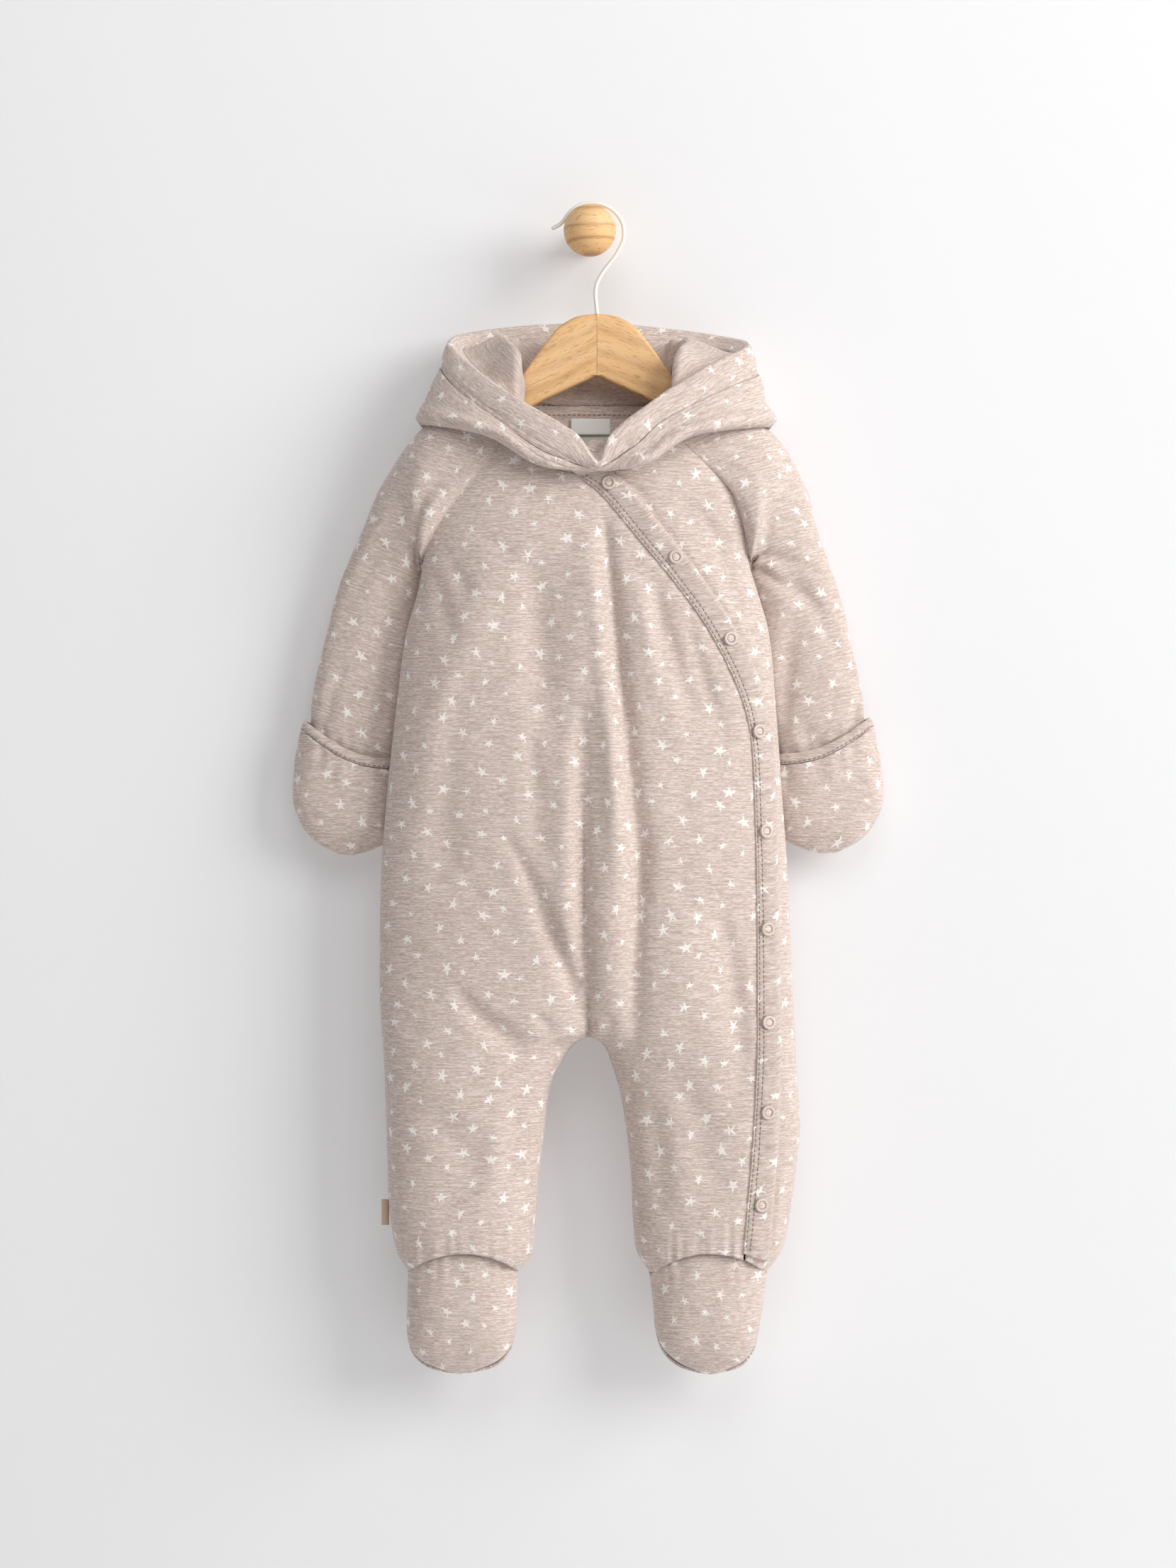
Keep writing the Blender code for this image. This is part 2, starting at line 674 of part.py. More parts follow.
def turned(name, profile, steps, finish):
    """A solid turned round its own Z axis from a closed half profile of radius and height."""
    points = []
    faces = []
    rings = []
    for radius, height in profile:
        if radius == 0.0:
            rings.append([len(points)])
            points.append((0.0, 0.0, height))
            continue
        rings.append(list(range(len(points), len(points) + steps)))
        for k in range(steps):
            turn = 2 * math.pi * k / steps
            points.append((radius * math.cos(turn), radius * math.sin(turn), height))
    for low, high in zip(rings, rings[1:]):
        for k in range(steps):
            j = (k + 1) % steps
            if len(low) == 1:
                faces.append((low[0], high[j], high[k]))
            elif len(high) == 1:
                faces.append((low[k], low[j], high[0]))
            else:
                faces.append((low[k], low[j], high[j], high[k]))
    return add_mesh(name, points, faces, finish)


# ---- sleeves and mitts ---------------------------------------------------------------------
SLEEVE_AROUND = 18


def raglan_loop(side):
    """The ring where a sleeve starts: over the shoulder, down the front seam, up the back seam."""
    index = 1 if side == "left" else 2
    inset = -0.25 * RAGLAN_GAP if side == "left" else 0.7 * RAGLAN_GAP
    half = SLEEVE_AROUND // 2
    front_z = np.linspace(-142.5, RAGLAN[-1][0], 6)
    back_z = np.linspace(RAGLAN[-1][0], BACK_NECK_Z, 7)[1:]
    front_x = down(RAGLAN, index, front_z) + inset
    back_x = down(RAGLAN, index, back_z) + inset
    front = np.stack([front_x, front_y(front_x, front_z), front_z], -1)
    back = np.stack([back_x, back_y(back_x, back_z), back_z], -1)
    top = np.array(SHOULDER[side])
    rise = np.array([top * (1 - t) + front[0] * t + [0, -bulge, bulge * 0.4]
                     for t, bulge in ((0.3, 8.0), (0.55, 8.0), (0.8, 4.0))])
    fall = np.array([back[-1] * (1 - t) + top * t + [0, bulge, bulge * 0.2]
                     for t, bulge in ((0.35, 2.0), (0.7, 3.0))])
    ring = np.concatenate([top[None], rise, front, back, fall])
    length = np.concatenate([[0.0], np.cumsum(np.linalg.norm(np.diff(
        np.concatenate([ring, ring[:1]]), axis=0), axis=1))])
    armpit = len(rise) + len(front)
    closed = np.concatenate([ring, ring[:1]])
    first = np.linspace(0.0, length[armpit], half + 1)[:-1]
    second = np.linspace(length[armpit], length[-1], half + 1)[:-1]
    at = np.concatenate([first, second])
    return np.stack([np.interp(at, length, closed[:, i]) for i in range(3)], -1)


def flat_loop(outer, inner, middle_y, half_depth, steps, power=2.3):
    """A flattened ring between an outer and an inner edge point, starting at the outer one."""
    turn = 2 * math.pi * np.arange(steps) / steps
    c = np.sign(np.cos(turn)) * np.abs(np.cos(turn)) ** (2 / power)
    s = np.sign(np.sin(turn)) * np.abs(np.sin(turn)) ** (2 / power)
    outer, inner = np.asarray(outer, float), np.asarray(inner, float)
    middle, reach = (outer + inner) / 2, (outer - inner) / 2
    x = middle[0] + reach[0] * c
    z = middle[1] + reach[1] * c
    return np.stack([x, middle_y - half_depth * s, z], -1)


def build_sleeve(side):
    loops = [raglan_loop(side)]
    for ox, oz, ix, iz, y, depth in SLEEVES[side]:
        loops.append(flat_loop((ox, oz), (ix, iz), y, depth, SLEEVE_AROUND))
    loops = np.array(loops)
    at = np.linspace(0.0, 1.0, 9)
    rows = along(loops.reshape(len(loops), -1), at).reshape(len(at), SLEEVE_AROUND, 3)
    return add_grid("sleeve_" + side, rows, "jersey", CLOTH, ring=True, flip=side == "right")


def build_mitt(side):
    """The pouch below the hem, closed at its tip, and the turned hem round its mouth."""
    loops = np.array([flat_loop((ox, oz), (ix, iz), MITT_Y, depth, MITT_AROUND)
                      for ox, oz, ix, iz, depth in MITTS[side]])
    hem = loops[:2].copy()
    add_grid("mitt_hem_" + side, hem, "jersey", THIN, ring=True, flip=side == "right")
    at = np.linspace(0.0, 1.0, 7)
    pouch = loops[1:]
    rows = along(pouch.reshape(len(pouch), -1), at).reshape(len(at), MITT_AROUND, 3)
    rows[0, :, 2] -= 0.6
    tip = rows[-1].mean(0)
    points = np.concatenate([rows.reshape(-1, 3), tip[None] + [[0, 0, -0.6]]])
    flip = side == "right"
    faces = grid_faces(len(at), MITT_AROUND, ring=True, flip=flip)
    base = (len(at) - 1) * MITT_AROUND
    for k in range(MITT_AROUND):
        tri = (base + k, len(points) - 1, base + (k + 1) % MITT_AROUND)
        faces.append(tri[::-1] if flip else tri)
    return add_mesh("mitt_" + side, points, faces, "jersey", THIN + 0.4)


# ---- feet ----------------------------------------------------------------------------------
def build_foot(side):
    """The upper is the foot's front half from the arched seam; the sole is its back half."""
    table = FEET[side]
    rows, cols = 9, 9
    at = np.linspace(0.0, 1.0, rows)
    section = along(table, at)
    for front in (True, False):
        turn = np.linspace(0.0, math.pi, cols)
        c = np.sign(np.cos(turn)) * np.abs(np.cos(turn)) ** (2 / ROUND)
        s = np.abs(np.sin(turn)) ** (2 / ROUND)
        outer, inner = section[:, 0:1], section[:, 1:2]
        x = (outer + inner) / 2 + (outer - inner) / 2 * c[None]
        z = np.repeat(section[:, 2:3], cols, 1)
        depth = section[:, 3:4] * s[None]
        if front:
            fade = np.linspace(1.0, 0.0, rows)[:, None] ** 1.2
            z = z + fade * arch(x, np.full_like(x, FOOT_Z))
            y = FOOT_Y - GAP / 2 - depth
            name = "foot_upper_" + side
        else:
            y = FOOT_Y + GAP / 2 + depth * 0.9
            name = "foot_sole_" + side
        points = np.stack([x, y, z], -1)
        flip = (side == "left") != front
        add_grid(name, points, "jersey", CLOTH, flip=not flip)


# ---- hood ----------------------------------------------------------------------------------
HOOD_AROUND = 36


def hood_ring(columns, table):
    at = np.arange(HOOD_AROUND) / HOOD_AROUND
    return around([row[columns:columns + 3] for row in table], at)


def ring_rows(rings, count, at_from=0.0, at_to=1.0):
    rings = np.array(rings)
    at = np.linspace(at_from, at_to, count)
    return along(rings.reshape(len(rings), -1), at).reshape(count, -1, 3)


def build_hood():
    rim, band, fold, neck = (hood_ring(c, HOOD) for c in (0, 3, 6, 9))
    dip, ridge, throat = (hood_ring(c, LINING) for c in (0, 3, 6))
    add_grid("hood_band", np.array([rim, rim * 0.5 + band * 0.5, band]), "jersey", CLOTH,
             ring=True)
    fall = fold - band
    start = band + 3 * GAP * fall / np.linalg.norm(fall, axis=1, keepdims=True)
    outer = ring_rows([start, fold], 4)
    tuck = ring_rows([fold, neck], 3)[1:]
    add_grid("hood_outer", np.concatenate([outer, tuck]), "jersey", CLOTH, ring=True)
    inner = np.concatenate([ring_rows([dip, ridge], 4), ring_rows([ridge, throat], 3)[1:]])
    add_grid("hood_lining", inner, "lining", THIN, ring=True, flip=True)


# ---- neck trimmings ------------------------------------------------------------------------
def build_neck():
    inside = GAP + CLOTH
    x = np.linspace(-40.0, 48.0, 9)[None].repeat(3, 0)
    z = np.array([-113.5, -118.5, -123.5])[:, None].repeat(9, 1)
    y = back_y(x, z) - inside
    add_grid("neck_facing", np.stack([x, y, z], -1), "jersey", THIN, flip=True)
    low_z = np.array([-124.2, -140.0, -156.0, -172.0])[:, None].repeat(9, 1)
    low_x = np.linspace(-40.0, 48.0, 9)[None].repeat(4, 0)
    add_grid("back_lining", np.stack([low_x, back_y(low_x, low_z) - inside, low_z], -1),
             "lining", THIN, flip=True)
    half_w, half_h = LABEL["width"] / 2, LABEL["height"] / 2
    lx = np.array([LABEL["x"] - half_w, LABEL["x"], LABEL["x"] + half_w])[None].repeat(2, 0)
    lz = np.array([LABEL["z"] + half_h, LABEL["z"] - half_h])[:, None].repeat(3, 1)
    ly = back_y(lx, lz) - inside - THIN - GAP - 0.4
    add_grid("neck_label", np.stack([lx, ly, lz], -1), "white", 0.6)


def build_side_tab():
    """A small folded loop that stands out of the left leg's side seam."""
    x, z = TAB["x"], TAB["z"]
    reach, high, thick = TAB["reach"], TAB["height"] / 2, TAB["thick"] / 2
    corners = [(x - reach + dx, MID_Y + dy, z + dz)
               for dx, dy, dz in (
                   (0, -thick, -high), (0, thick, -high), (0, thick, high), (0, -thick, high),
                   (reach, -thick, -high), (reach, thick, -high), (reach, thick, high),
                   (reach, -thick, high))]
    faces = [(0, 3, 2, 1), (4, 5, 6, 7), (0, 1, 5, 4), (2, 3, 7, 6), (1, 2, 6, 5), (0, 4, 7, 3)]
    add_mesh("side_tab", corners, faces, "tan")


# ---- hanger, hook and peg ------------------------------------------------------------------
def build_hanger(side):
    sign = -1.0 if side == "left" else 1.0
    outline = [(HANGER_X + sign * out, z) for out, z in ARM]
    count = len(outline)
    points = [(x, HANGER_Y + dy, z) for dy in (-HANGER_THICK / 2, HANGER_THICK / 2)
              for x, z in outline]
    front = tuple(range(count))
    back = tuple(range(2 * count - 1, count - 1, -1))
    sides = [(k, k + count, (k + 1) % count + count, (k + 1) % count) for k in range(count)]
    faces = [front, back] + sides
    if side == "left":
        faces = [face[::-1] for face in faces]
    faces = [face[::-1] for face in faces]
    made = add_mesh("hanger_" + side, points, faces, "wood")
    bevel = made.modifiers.new("edges", "BEVEL")
    bevel.width = 2.0 * MM
    bevel.segments = 2
    bevel.limit_method = "ANGLE"
    bevel.angle_limit = math.radians(40)


def build_hook():
    route = along([(x, HANGER_Y, z) for x, z in HOOK], np.linspace(0.0, 1.0, 42))
    route[0, 2] = HOOK_SEAT_Z
    curve = bpy.data.curves.new("hanger_hook", "CURVE")
    curve.dimensions = "3D"
    curve.bevel_depth = WIRE / 2 * MM
    curve.bevel_resolution = 2
    curve.use_fill_caps = True
    spline = curve.splines.new("POLY")
    spline.points.add(len(route) - 1)
    for point, place in zip(spline.points, route):
        point.co = (*(place * MM), 1.0)
    curve.materials.append(material("cream"))
    made = bpy.data.objects.new("hanger_hook", curve)
    bpy.context.collection.objects.link(made)


def build_peg():
    """A ball on a short shank, turned round the Y axis; its flat back lies on the wall."""
    steps = 10
    start = math.asin(PEG_RADIUS / BALL_RADIUS)
    angles = [start + (math.pi - start) * k / steps for k in range(steps)]
    ball = [(BALL_RADIUS * math.sin(a), -BALL_Y - BALL_RADIUS * math.cos(a)) for a in angles]
    profile = [(0.0, 0.0), (PEG_RADIUS, 0.0)] + ball + [(0.0, -BALL_Y + BALL_RADIUS)]
    made = turned("wall_peg", profile, 28, "wood")
    made.rotation_euler = (math.radians(90), 0.0, 0.0)


def main():
    for old in list(bpy.data.objects):
        bpy.data.objects.remove(old, do_unlink=True)
    build_front_main()
    build_front_side()
    build_back()
    build_placket_band()
    build_snaps()
    for side in ("left", "right"):
        build_sleeve(side)
        build_mitt(side)
        build_foot(side)
        build_hanger(side)
    build_hood()
    build_neck()
    build_side_tab()
    build_hook()
    build_peg()


main()
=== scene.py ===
"""Hooded baby pramsuit on a child's wooden hanger: finishes and cloth surfaces.

Laid out as an add-on and run as a script.  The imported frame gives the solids; every cloth piece
here is a fine shell on its solid's form.  Shapes are worked out in millimetres and scaled to
metres when a mesh is made.
"""

import math

import bpy
import numpy as np
from bpy.props import FloatProperty, FloatVectorProperty, PointerProperty
from bpy.types import Operator, Panel, PropertyGroup
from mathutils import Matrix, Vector


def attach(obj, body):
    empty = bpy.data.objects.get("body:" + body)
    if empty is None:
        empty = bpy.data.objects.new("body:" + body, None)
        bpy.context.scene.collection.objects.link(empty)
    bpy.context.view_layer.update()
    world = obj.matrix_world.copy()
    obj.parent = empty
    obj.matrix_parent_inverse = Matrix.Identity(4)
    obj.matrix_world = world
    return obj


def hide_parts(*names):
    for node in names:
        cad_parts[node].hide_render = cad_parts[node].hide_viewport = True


bl_info = {
    "name": "Hooded pramsuit on a hanger",
    "version": (1, 0, 0),
    "blender": (4, 5, 0),
    "location": "3D View > Sidebar > Pramsuit",
    "description": "Builds the cloth, trims, hanger and stage of a hooded baby pramsuit",
    "category": "Object",
}

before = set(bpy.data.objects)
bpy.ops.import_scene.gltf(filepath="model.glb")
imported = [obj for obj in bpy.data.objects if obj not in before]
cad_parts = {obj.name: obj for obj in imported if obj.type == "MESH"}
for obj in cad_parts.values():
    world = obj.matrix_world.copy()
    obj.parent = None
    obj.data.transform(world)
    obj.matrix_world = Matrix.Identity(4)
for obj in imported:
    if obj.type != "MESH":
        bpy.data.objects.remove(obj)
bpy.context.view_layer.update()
MM = 0.001

# ---- sizes shared with the solids, in millimetres ------------------------------------------
MID_Y = -44.0
SEAM_HALF = 0.5        # half the groove at a side seam
WALL = 1.9             # shell thickness of padded jersey
THIN = 1.0             # facing, label, lining
ROUND = 2.4            # exponent of the body's superellipse sections
NECK_FADE_Z = -262.0
FOOT_FADE_Z = -640.0
CROTCH_Z = -542.4
FOOT_Z = -701.0
BLEND_TOP_Z = -452.0
CENTRE_X = -0.5
CENTRE_LEAN = 45.0
CENTRE_LEAN_Z = -300.0
BACK_NECK_Z = -112.0
SETTLE_STEPS = 60      # rounds of averaging that settle a row onto its bent place
CROTCH_GAP = 1.3       # the walls' distance at the crotch, as a share of their thickness
CROTCH_REACH = 9.0
BAND_TROUGH_OFF = 1.4  # the trough beside the placket's free edge
SLOPE_STEP = 1.5       # how far apart the front is read for its slope
STEEPEST = 3.0
FAR = 99.0             # a distance beyond any seam's pull
START_TIGHT = 0.72

SIDES = [
    # z, left side x, right side x
    (-120.0, -100.0, 96.0),
    (-170.0, -108.0, 104.0),
    (-221.5, -112.2, 107.0),
    (-243.0, -116.0, 113.2),
    (-268.0, -123.2, 120.3),
    (-323.0, -130.8, 125.6),
    (-383.0, -137.1, 129.9),
    (-429.0, -140.4, 133.2),
    (-507.0, -141.6, 136.6),
    (-564.0, -138.5, 139.5),
    (-604.0, -137.1, 141.8),
    (-629.0, -136.3, 139.5),
    (-658.0, -135.1, 135.6),
    (-680.0, -131.8, 131.6),
    (-692.0, -128.0, 126.0),
    (-701.0, -121.5, 118.5),
]
INSEAMS = [
    # z, left leg x, right leg x
    (-542.4, -0.8, -0.2),
    (-545.3, -7.2, 6.0),
    (-551.0, -13.4, 11.0),
    (-559.6, -18.6, 14.3),
    (-568.7, -23.9, 17.4),
    (-582.5, -27.7, 21.0),
    (-605.9, -30.3, 24.8),
    (-637.0, -34.1, 28.0),
    (-670.0, -36.6, 29.4),
    (-688.0, -38.2, 32.0),
    (-696.0, -43.5, 36.5),
    (-701.0, -49.0, 40.5),
]
DEPTHS = [
    # z, front, back
    (-120.0, 27.0, 21.0),
    (-221.5, 35.0, 24.0),
    (-400.0, 39.0, 25.0),
    (-540.0, 36.0, 24.0),
    (-620.0, 33.0, 23.0),
    (-690.0, 32.0, 22.0),
    (-701.0, 28.0, 19.0),
]
RAGLAN = [
    # z, left x, right x
    (-112.0, -44.0, 51.0),
    (-141.5, -58.0, 61.8),
    (-156.0, -66.5, 75.5),
    (-173.7, -83.0, 94.0),
    (-186.2, -93.5, 99.6),
    (-198.7, -102.0, 103.6),
    (-213.7, -109.3, 106.0),
    (-221.5, -112.2, 107.0),
]
ARMPIT_Z = RAGLAN[-1][0]
NECKLINE = [
    # x, z
    (-110.0, -136.0),
    (-58.0, -141.9),
    (-49.5, -149.6),
    (-32.0, -158.0),
    (-11.0, -164.5),
    (6.0, -163.0),
    (27.0, -161.5),
    (50.0, -149.0),
    (61.8, -140.0),
    (110.0, -134.0),
]
BAND = [
    # seam x, seam z, edge x, edge z
    (-8.0, -167.0, 7.5, -163.6),
    (8.5, -181.0, 20.0, -168.6),
    (32.0, -209.3, 43.5, -196.5),
    (55.6, -237.6, 68.5, -227.5),
    (79.2, -270.6, 92.5, -263.0),
    (98.0, -308.3, 112.0, -301.5),
    (107.0, -341.3, 120.5, -338.5),
    (109.8, -393.1, 123.6, -393.0),
    (111.2, -463.8, 125.6, -463.8),
    (111.4, -534.5, 126.6, -534.5),
    (108.4, -605.2, 125.0, -605.2),
    (104.5, -652.4, 121.6, -652.4),
    (101.8, -685.0, 118.0, -691.0),
]
SNAPS = [
    # x, z
    (12.7, -171.9),
    (56.9, -221.3),
    (93.2, -275.5),
    (112.0, -337.1),
    (116.7, -403.9),
    (118.0, -469.3),
    (118.6, -531.9),
    (118.0, -591.2),
    (113.6, -652.9),
]
SNAP_SEAT = 2.1       # a ring's middle above the front
BAND_STITCHES = (0.12, 0.29)   # shares of the placket's width from its seam
BAND_TOP = (-19.0, -158.6, 4.5, -157.4)   # the placket's end over the hood: seam x, z, edge x, z
BAND_TOP_Y = -93.2
BAND_TOP_ROWS = 16
SLEEVES = {
    "left": [
        # outer x, outer z, inner x, inner z, middle y, half depth
        (-108.0, -128.5, -113.0, -222.0, -41.0, 26.0),
        (-139.8, -168.2, -113.8, -223.2, -34.0, 20.0),
        (-158.1, -208.6, -114.0, -236.0, -28.0, 17.0),
        (-172.5, -247.5, -116.5, -266.0, -25.0, 15.5),
        (-184.0, -293.0, -122.0, -305.0, -24.5, 15.0),
        (-189.8, -326.5, -131.0, -342.0, -24.5, 13.6),
        (-189.0, -341.0, -134.5, -356.0, -24.5, 11.0),
    ],
    "right": [
        (116.0, -129.8, 108.0, -222.0, -41.0, 26.0),
        (142.2, -162.9, 109.0, -223.2, -34.0, 20.0),
        (158.8, -212.4, 109.5, -236.0, -28.0, 17.0),
        (172.0, -254.0, 113.5, -268.0, -25.0, 15.5),
        (181.5, -296.0, 117.0, -306.0, -24.5, 15.0),
        (186.6, -324.0, 125.2, -340.0, -24.5, 13.6),
        (186.0, -338.5, 128.8, -353.0, -24.5, 11.0),
    ],
}
SHOULDER = {"left": (-52.0, MID_Y, -94.0), "right": (60.0, MID_Y, -94.0)}
MITTS = {
    "left": [
        # outer x, outer z, inner x, inner z, half depth
        (-193.4, -329.4, -128.4, -347.5, 16.4),
        (-196.0, -336.5, -128.0, -354.5, 17.8),
        (-200.5, -357.0, -127.5, -374.0, 17.0),
        (-201.8, -378.0, -128.5, -393.0, 16.0),
        (-198.0, -395.5, -132.0, -404.0, 13.5),
        (-189.5, -409.0, -141.5, -413.0, 9.5),
        (-172.5, -419.0, -157.5, -420.0, 4.0),
    ],
    "right": [
        (190.2, -327.0, 122.4, -344.5, 16.4),
        (192.8, -334.0, 122.4, -351.5, 17.8),
        (197.2, -354.0, 122.6, -371.0, 17.0),
        (199.8, -377.0, 124.0, -391.0, 16.0),
        (196.0, -394.0, 128.0, -403.0, 13.5),
        (186.8, -408.0, 137.5, -412.0, 9.5),
        (169.5, -418.0, 153.0, -418.6, 4.0),
    ],
}
MITT_Y = -24.5
MITT_TILT = 8.0         # how much lower the mouth of a mitt hangs on the body's side
MITT_SAG = 7.5          # and halfway across its front
FEET = {
    "left": [
        # outer x, inner x, z, half depth
        (-120.6, -49.9, -700.9, 24.6),
        (-121.0, -50.8, -720.0, 24.0),
        (-121.3, -51.5, -738.0, 22.0),
        (-118.8, -55.0, -753.0, 18.0),
        (-110.5, -63.5, -762.5, 12.0),
        (-98.0, -77.0, -766.6, 6.5),
        (-88.0, -87.0, -767.8, 0.4),
    ],
    "right": [
        (117.6, 41.8, -700.9, 24.6),
        (115.0, 44.4, -720.0, 24.0),
        (112.2, 45.8, -738.0, 22.0),
        (109.0, 50.2, -753.0, 18.0),
        (102.0, 59.5, -762.5, 12.0),
        (90.5, 71.5, -766.8, 6.5),
        (81.5, 80.5, -768.2, 0.4),
    ],
}
FOOT_Y = -46.0
ARCH_RISE = 15.5
ARCH_HALF = 37.0
LEG_CENTRES = (-84.5, 80.0)
HOOD = [
    # rim x, y, z, band x, y, z, fold x, y, z, neck x, y, z
    (5.0, -95.0, -160.0, 2.5, -88.5, -161.0, 4.0, -84.0, -161.0, 4.0, -82.0, -157.0),
    (-10.3, -93.0, -140.6, -27.5, -92.0, -153.6, -31.0, -90.0, -158.5, -31.0, -84.0, -154.0),
    (-48.6, -82.0, -116.5, -56.0, -84.0, -135.0, -62.0, -87.0, -141.0, -58.0, -80.0, -133.0),
    (-78.8, -63.0, -93.7, -84.8, -67.0, -112.5, -88.0, -76.0, -133.0, -72.0, -64.0, -111.0),
    (-94.5, -40.0, -74.3, -99.5, -44.0, -92.8, -114.5, -46.0, -127.5, -75.0, -44.0, -99.4),
    (-78.0, -14.0, -65.0, -84.0, -8.5, -90.0, -90.0, -5.0, -140.0, -58.0, -14.0, -106.6),
    (-37.0, -7.0, -59.5, -40.0, -5.0, -90.0, -42.0, -4.0, -158.0, -40.0, -16.5, -109.0),
    (5.0, -5.5, -58.0, 5.0, -5.0, -92.0, 5.0, -4.0, -164.0, 4.0, -16.5, -109.0),
    (48.0, -7.0, -61.5, 50.0, -5.0, -90.0, 52.0, -4.0, -158.0, 48.0, -16.5, -109.0),
    (90.0, -14.0, -68.0, 96.0, -8.5, -92.0, 100.0, -5.0, -140.0, 66.0, -14.0, -106.0),
    (107.2, -40.0, -76.4, 112.5, -44.0, -96.8, 122.5, -46.0, -129.0, 84.0, -44.0, -99.8),
    (80.2, -66.0, -93.3, 88.0, -68.0, -110.0, 92.7, -76.0, -133.7, 80.0, -64.0, -111.0),
    (42.9, -84.0, -118.2, 50.0, -84.0, -131.0, 62.0, -87.0, -140.5, 62.0, -80.0, -132.0),
    (15.0, -93.0, -140.9, 28.0, -91.0, -149.7, 36.0, -90.0, -157.0, 32.0, -84.0, -154.0),
]
LINING = [
    # dip x, y, z, ridge x, y, z, neck x, y, z
    (4.0, -83.0, -151.0, 4.0, -79.0, -146.0, 4.0, -70.5, -152.0),
    (-17.0, -83.0, -140.0, -19.0, -78.0, -143.0, -24.0, -68.0, -150.0),
    (-53.0, -70.0, -114.0, -48.0, -68.0, -116.0, -46.0, -62.0, -130.0),
    (-72.0, -54.0, -98.0, -49.0, -62.0, -84.0, -45.0, -56.0, -106.0),
    (-83.0, -38.0, -82.0, -59.0, -38.0, -71.0, -50.0, -38.0, -88.0),
    (-70.0, -18.0, -76.0, -50.0, -26.0, -72.0, -44.0, -27.0, -109.0),
    (-35.0, -12.0, -72.0, -32.0, -21.0, -75.0, -29.0, -25.5, -115.0),
    (4.0, -10.5, -70.0, 4.0, -20.0, -75.0, 4.0, -24.6, -116.0),
    (45.0, -12.0, -73.0, 42.0, -21.0, -75.0, 37.0, -25.5, -115.0),
    (80.0, -18.0, -78.0, 57.0, -26.0, -73.0, 52.0, -27.0, -109.0),
    (95.0, -38.0, -84.0, 66.0, -38.0, -73.5, 58.0, -38.0, -88.0),
    (72.0, -56.0, -97.0, 60.0, -62.0, -85.0, 58.5, -56.0, -106.0),
    (50.0, -70.0, -114.0, 52.0, -70.0, -116.0, 52.0, -62.0, -130.0),
    (22.0, -83.0, -139.0, 27.0, -79.0, -142.0, 32.0, -68.0, -150.0),
]
HANGER_X = 4.8
HANGER_Y = -45.0
HANGER_THICK = 11.0
HANGER_EDGE = 2.6      # radius of the arms' rounded edges
HANGER_SHARP = 50      # degrees between faces from which an edge is sharp
MITRE_SOFT = 0.04      # the mitre's own rounding, as a share of that
ARM = [
    # distance out, z
    (0.04, -55.8),
    (8.0, -56.6),
    (15.8, -58.6),
    (25.8, -64.8),
    (33.0, -73.2),
    (41.5, -84.6),
    (49.5, -96.1),
    (60.0, -106.0),
    (76.0, -118.0),
    (93.0, -130.0),
    (103.0, -137.5),
    (107.0, -143.0),
    (104.5, -149.0),
    (96.0, -147.5),
    (80.0, -140.0),
    (62.0, -129.5),
    (40.0, -116.5),
    (20.5, -107.0),
    (0.04, -97.5),
]
WIRE = 2.8
HOOK = [
    # x, z
    (4.8, -56.0),
    (4.8, -35.1),
    (8.6, -27.9),
    (18.2, -15.1),
    (22.9, -4.1),
    (21.0, 7.9),
    (14.3, 15.2),
    (0.0, 19.0),
    (-9.8, 16.0),
    (-14.9, 11.2),
    (-17.4, 7.6),
    (-20.0, 4.9),
    (-24.6, 2.3),
]
BALL_Y = -50.0
BALL_RADIUS = 17.6
PEG_RADIUS = 9.5
LABEL = {"x": 0.5, "z": -130.0, "width": 27.0, "height": 11.0}
NECK_SIDES = (-40.0, 48.0)
NECK_INSIDE = WALL + 0.6   # how far in front of the back's middle surface the neck's trimmings lie
TAPE_TOP_Z = -113.5
TAPE_LOW_Z = -123.5
LINING_TOP_Z = -134.0
LINING_LOW_Z = -176.0
TAB = {"x": -135.3, "z": -661.0, "reach": 4.6, "height": 17.0, "thick": 1.6}

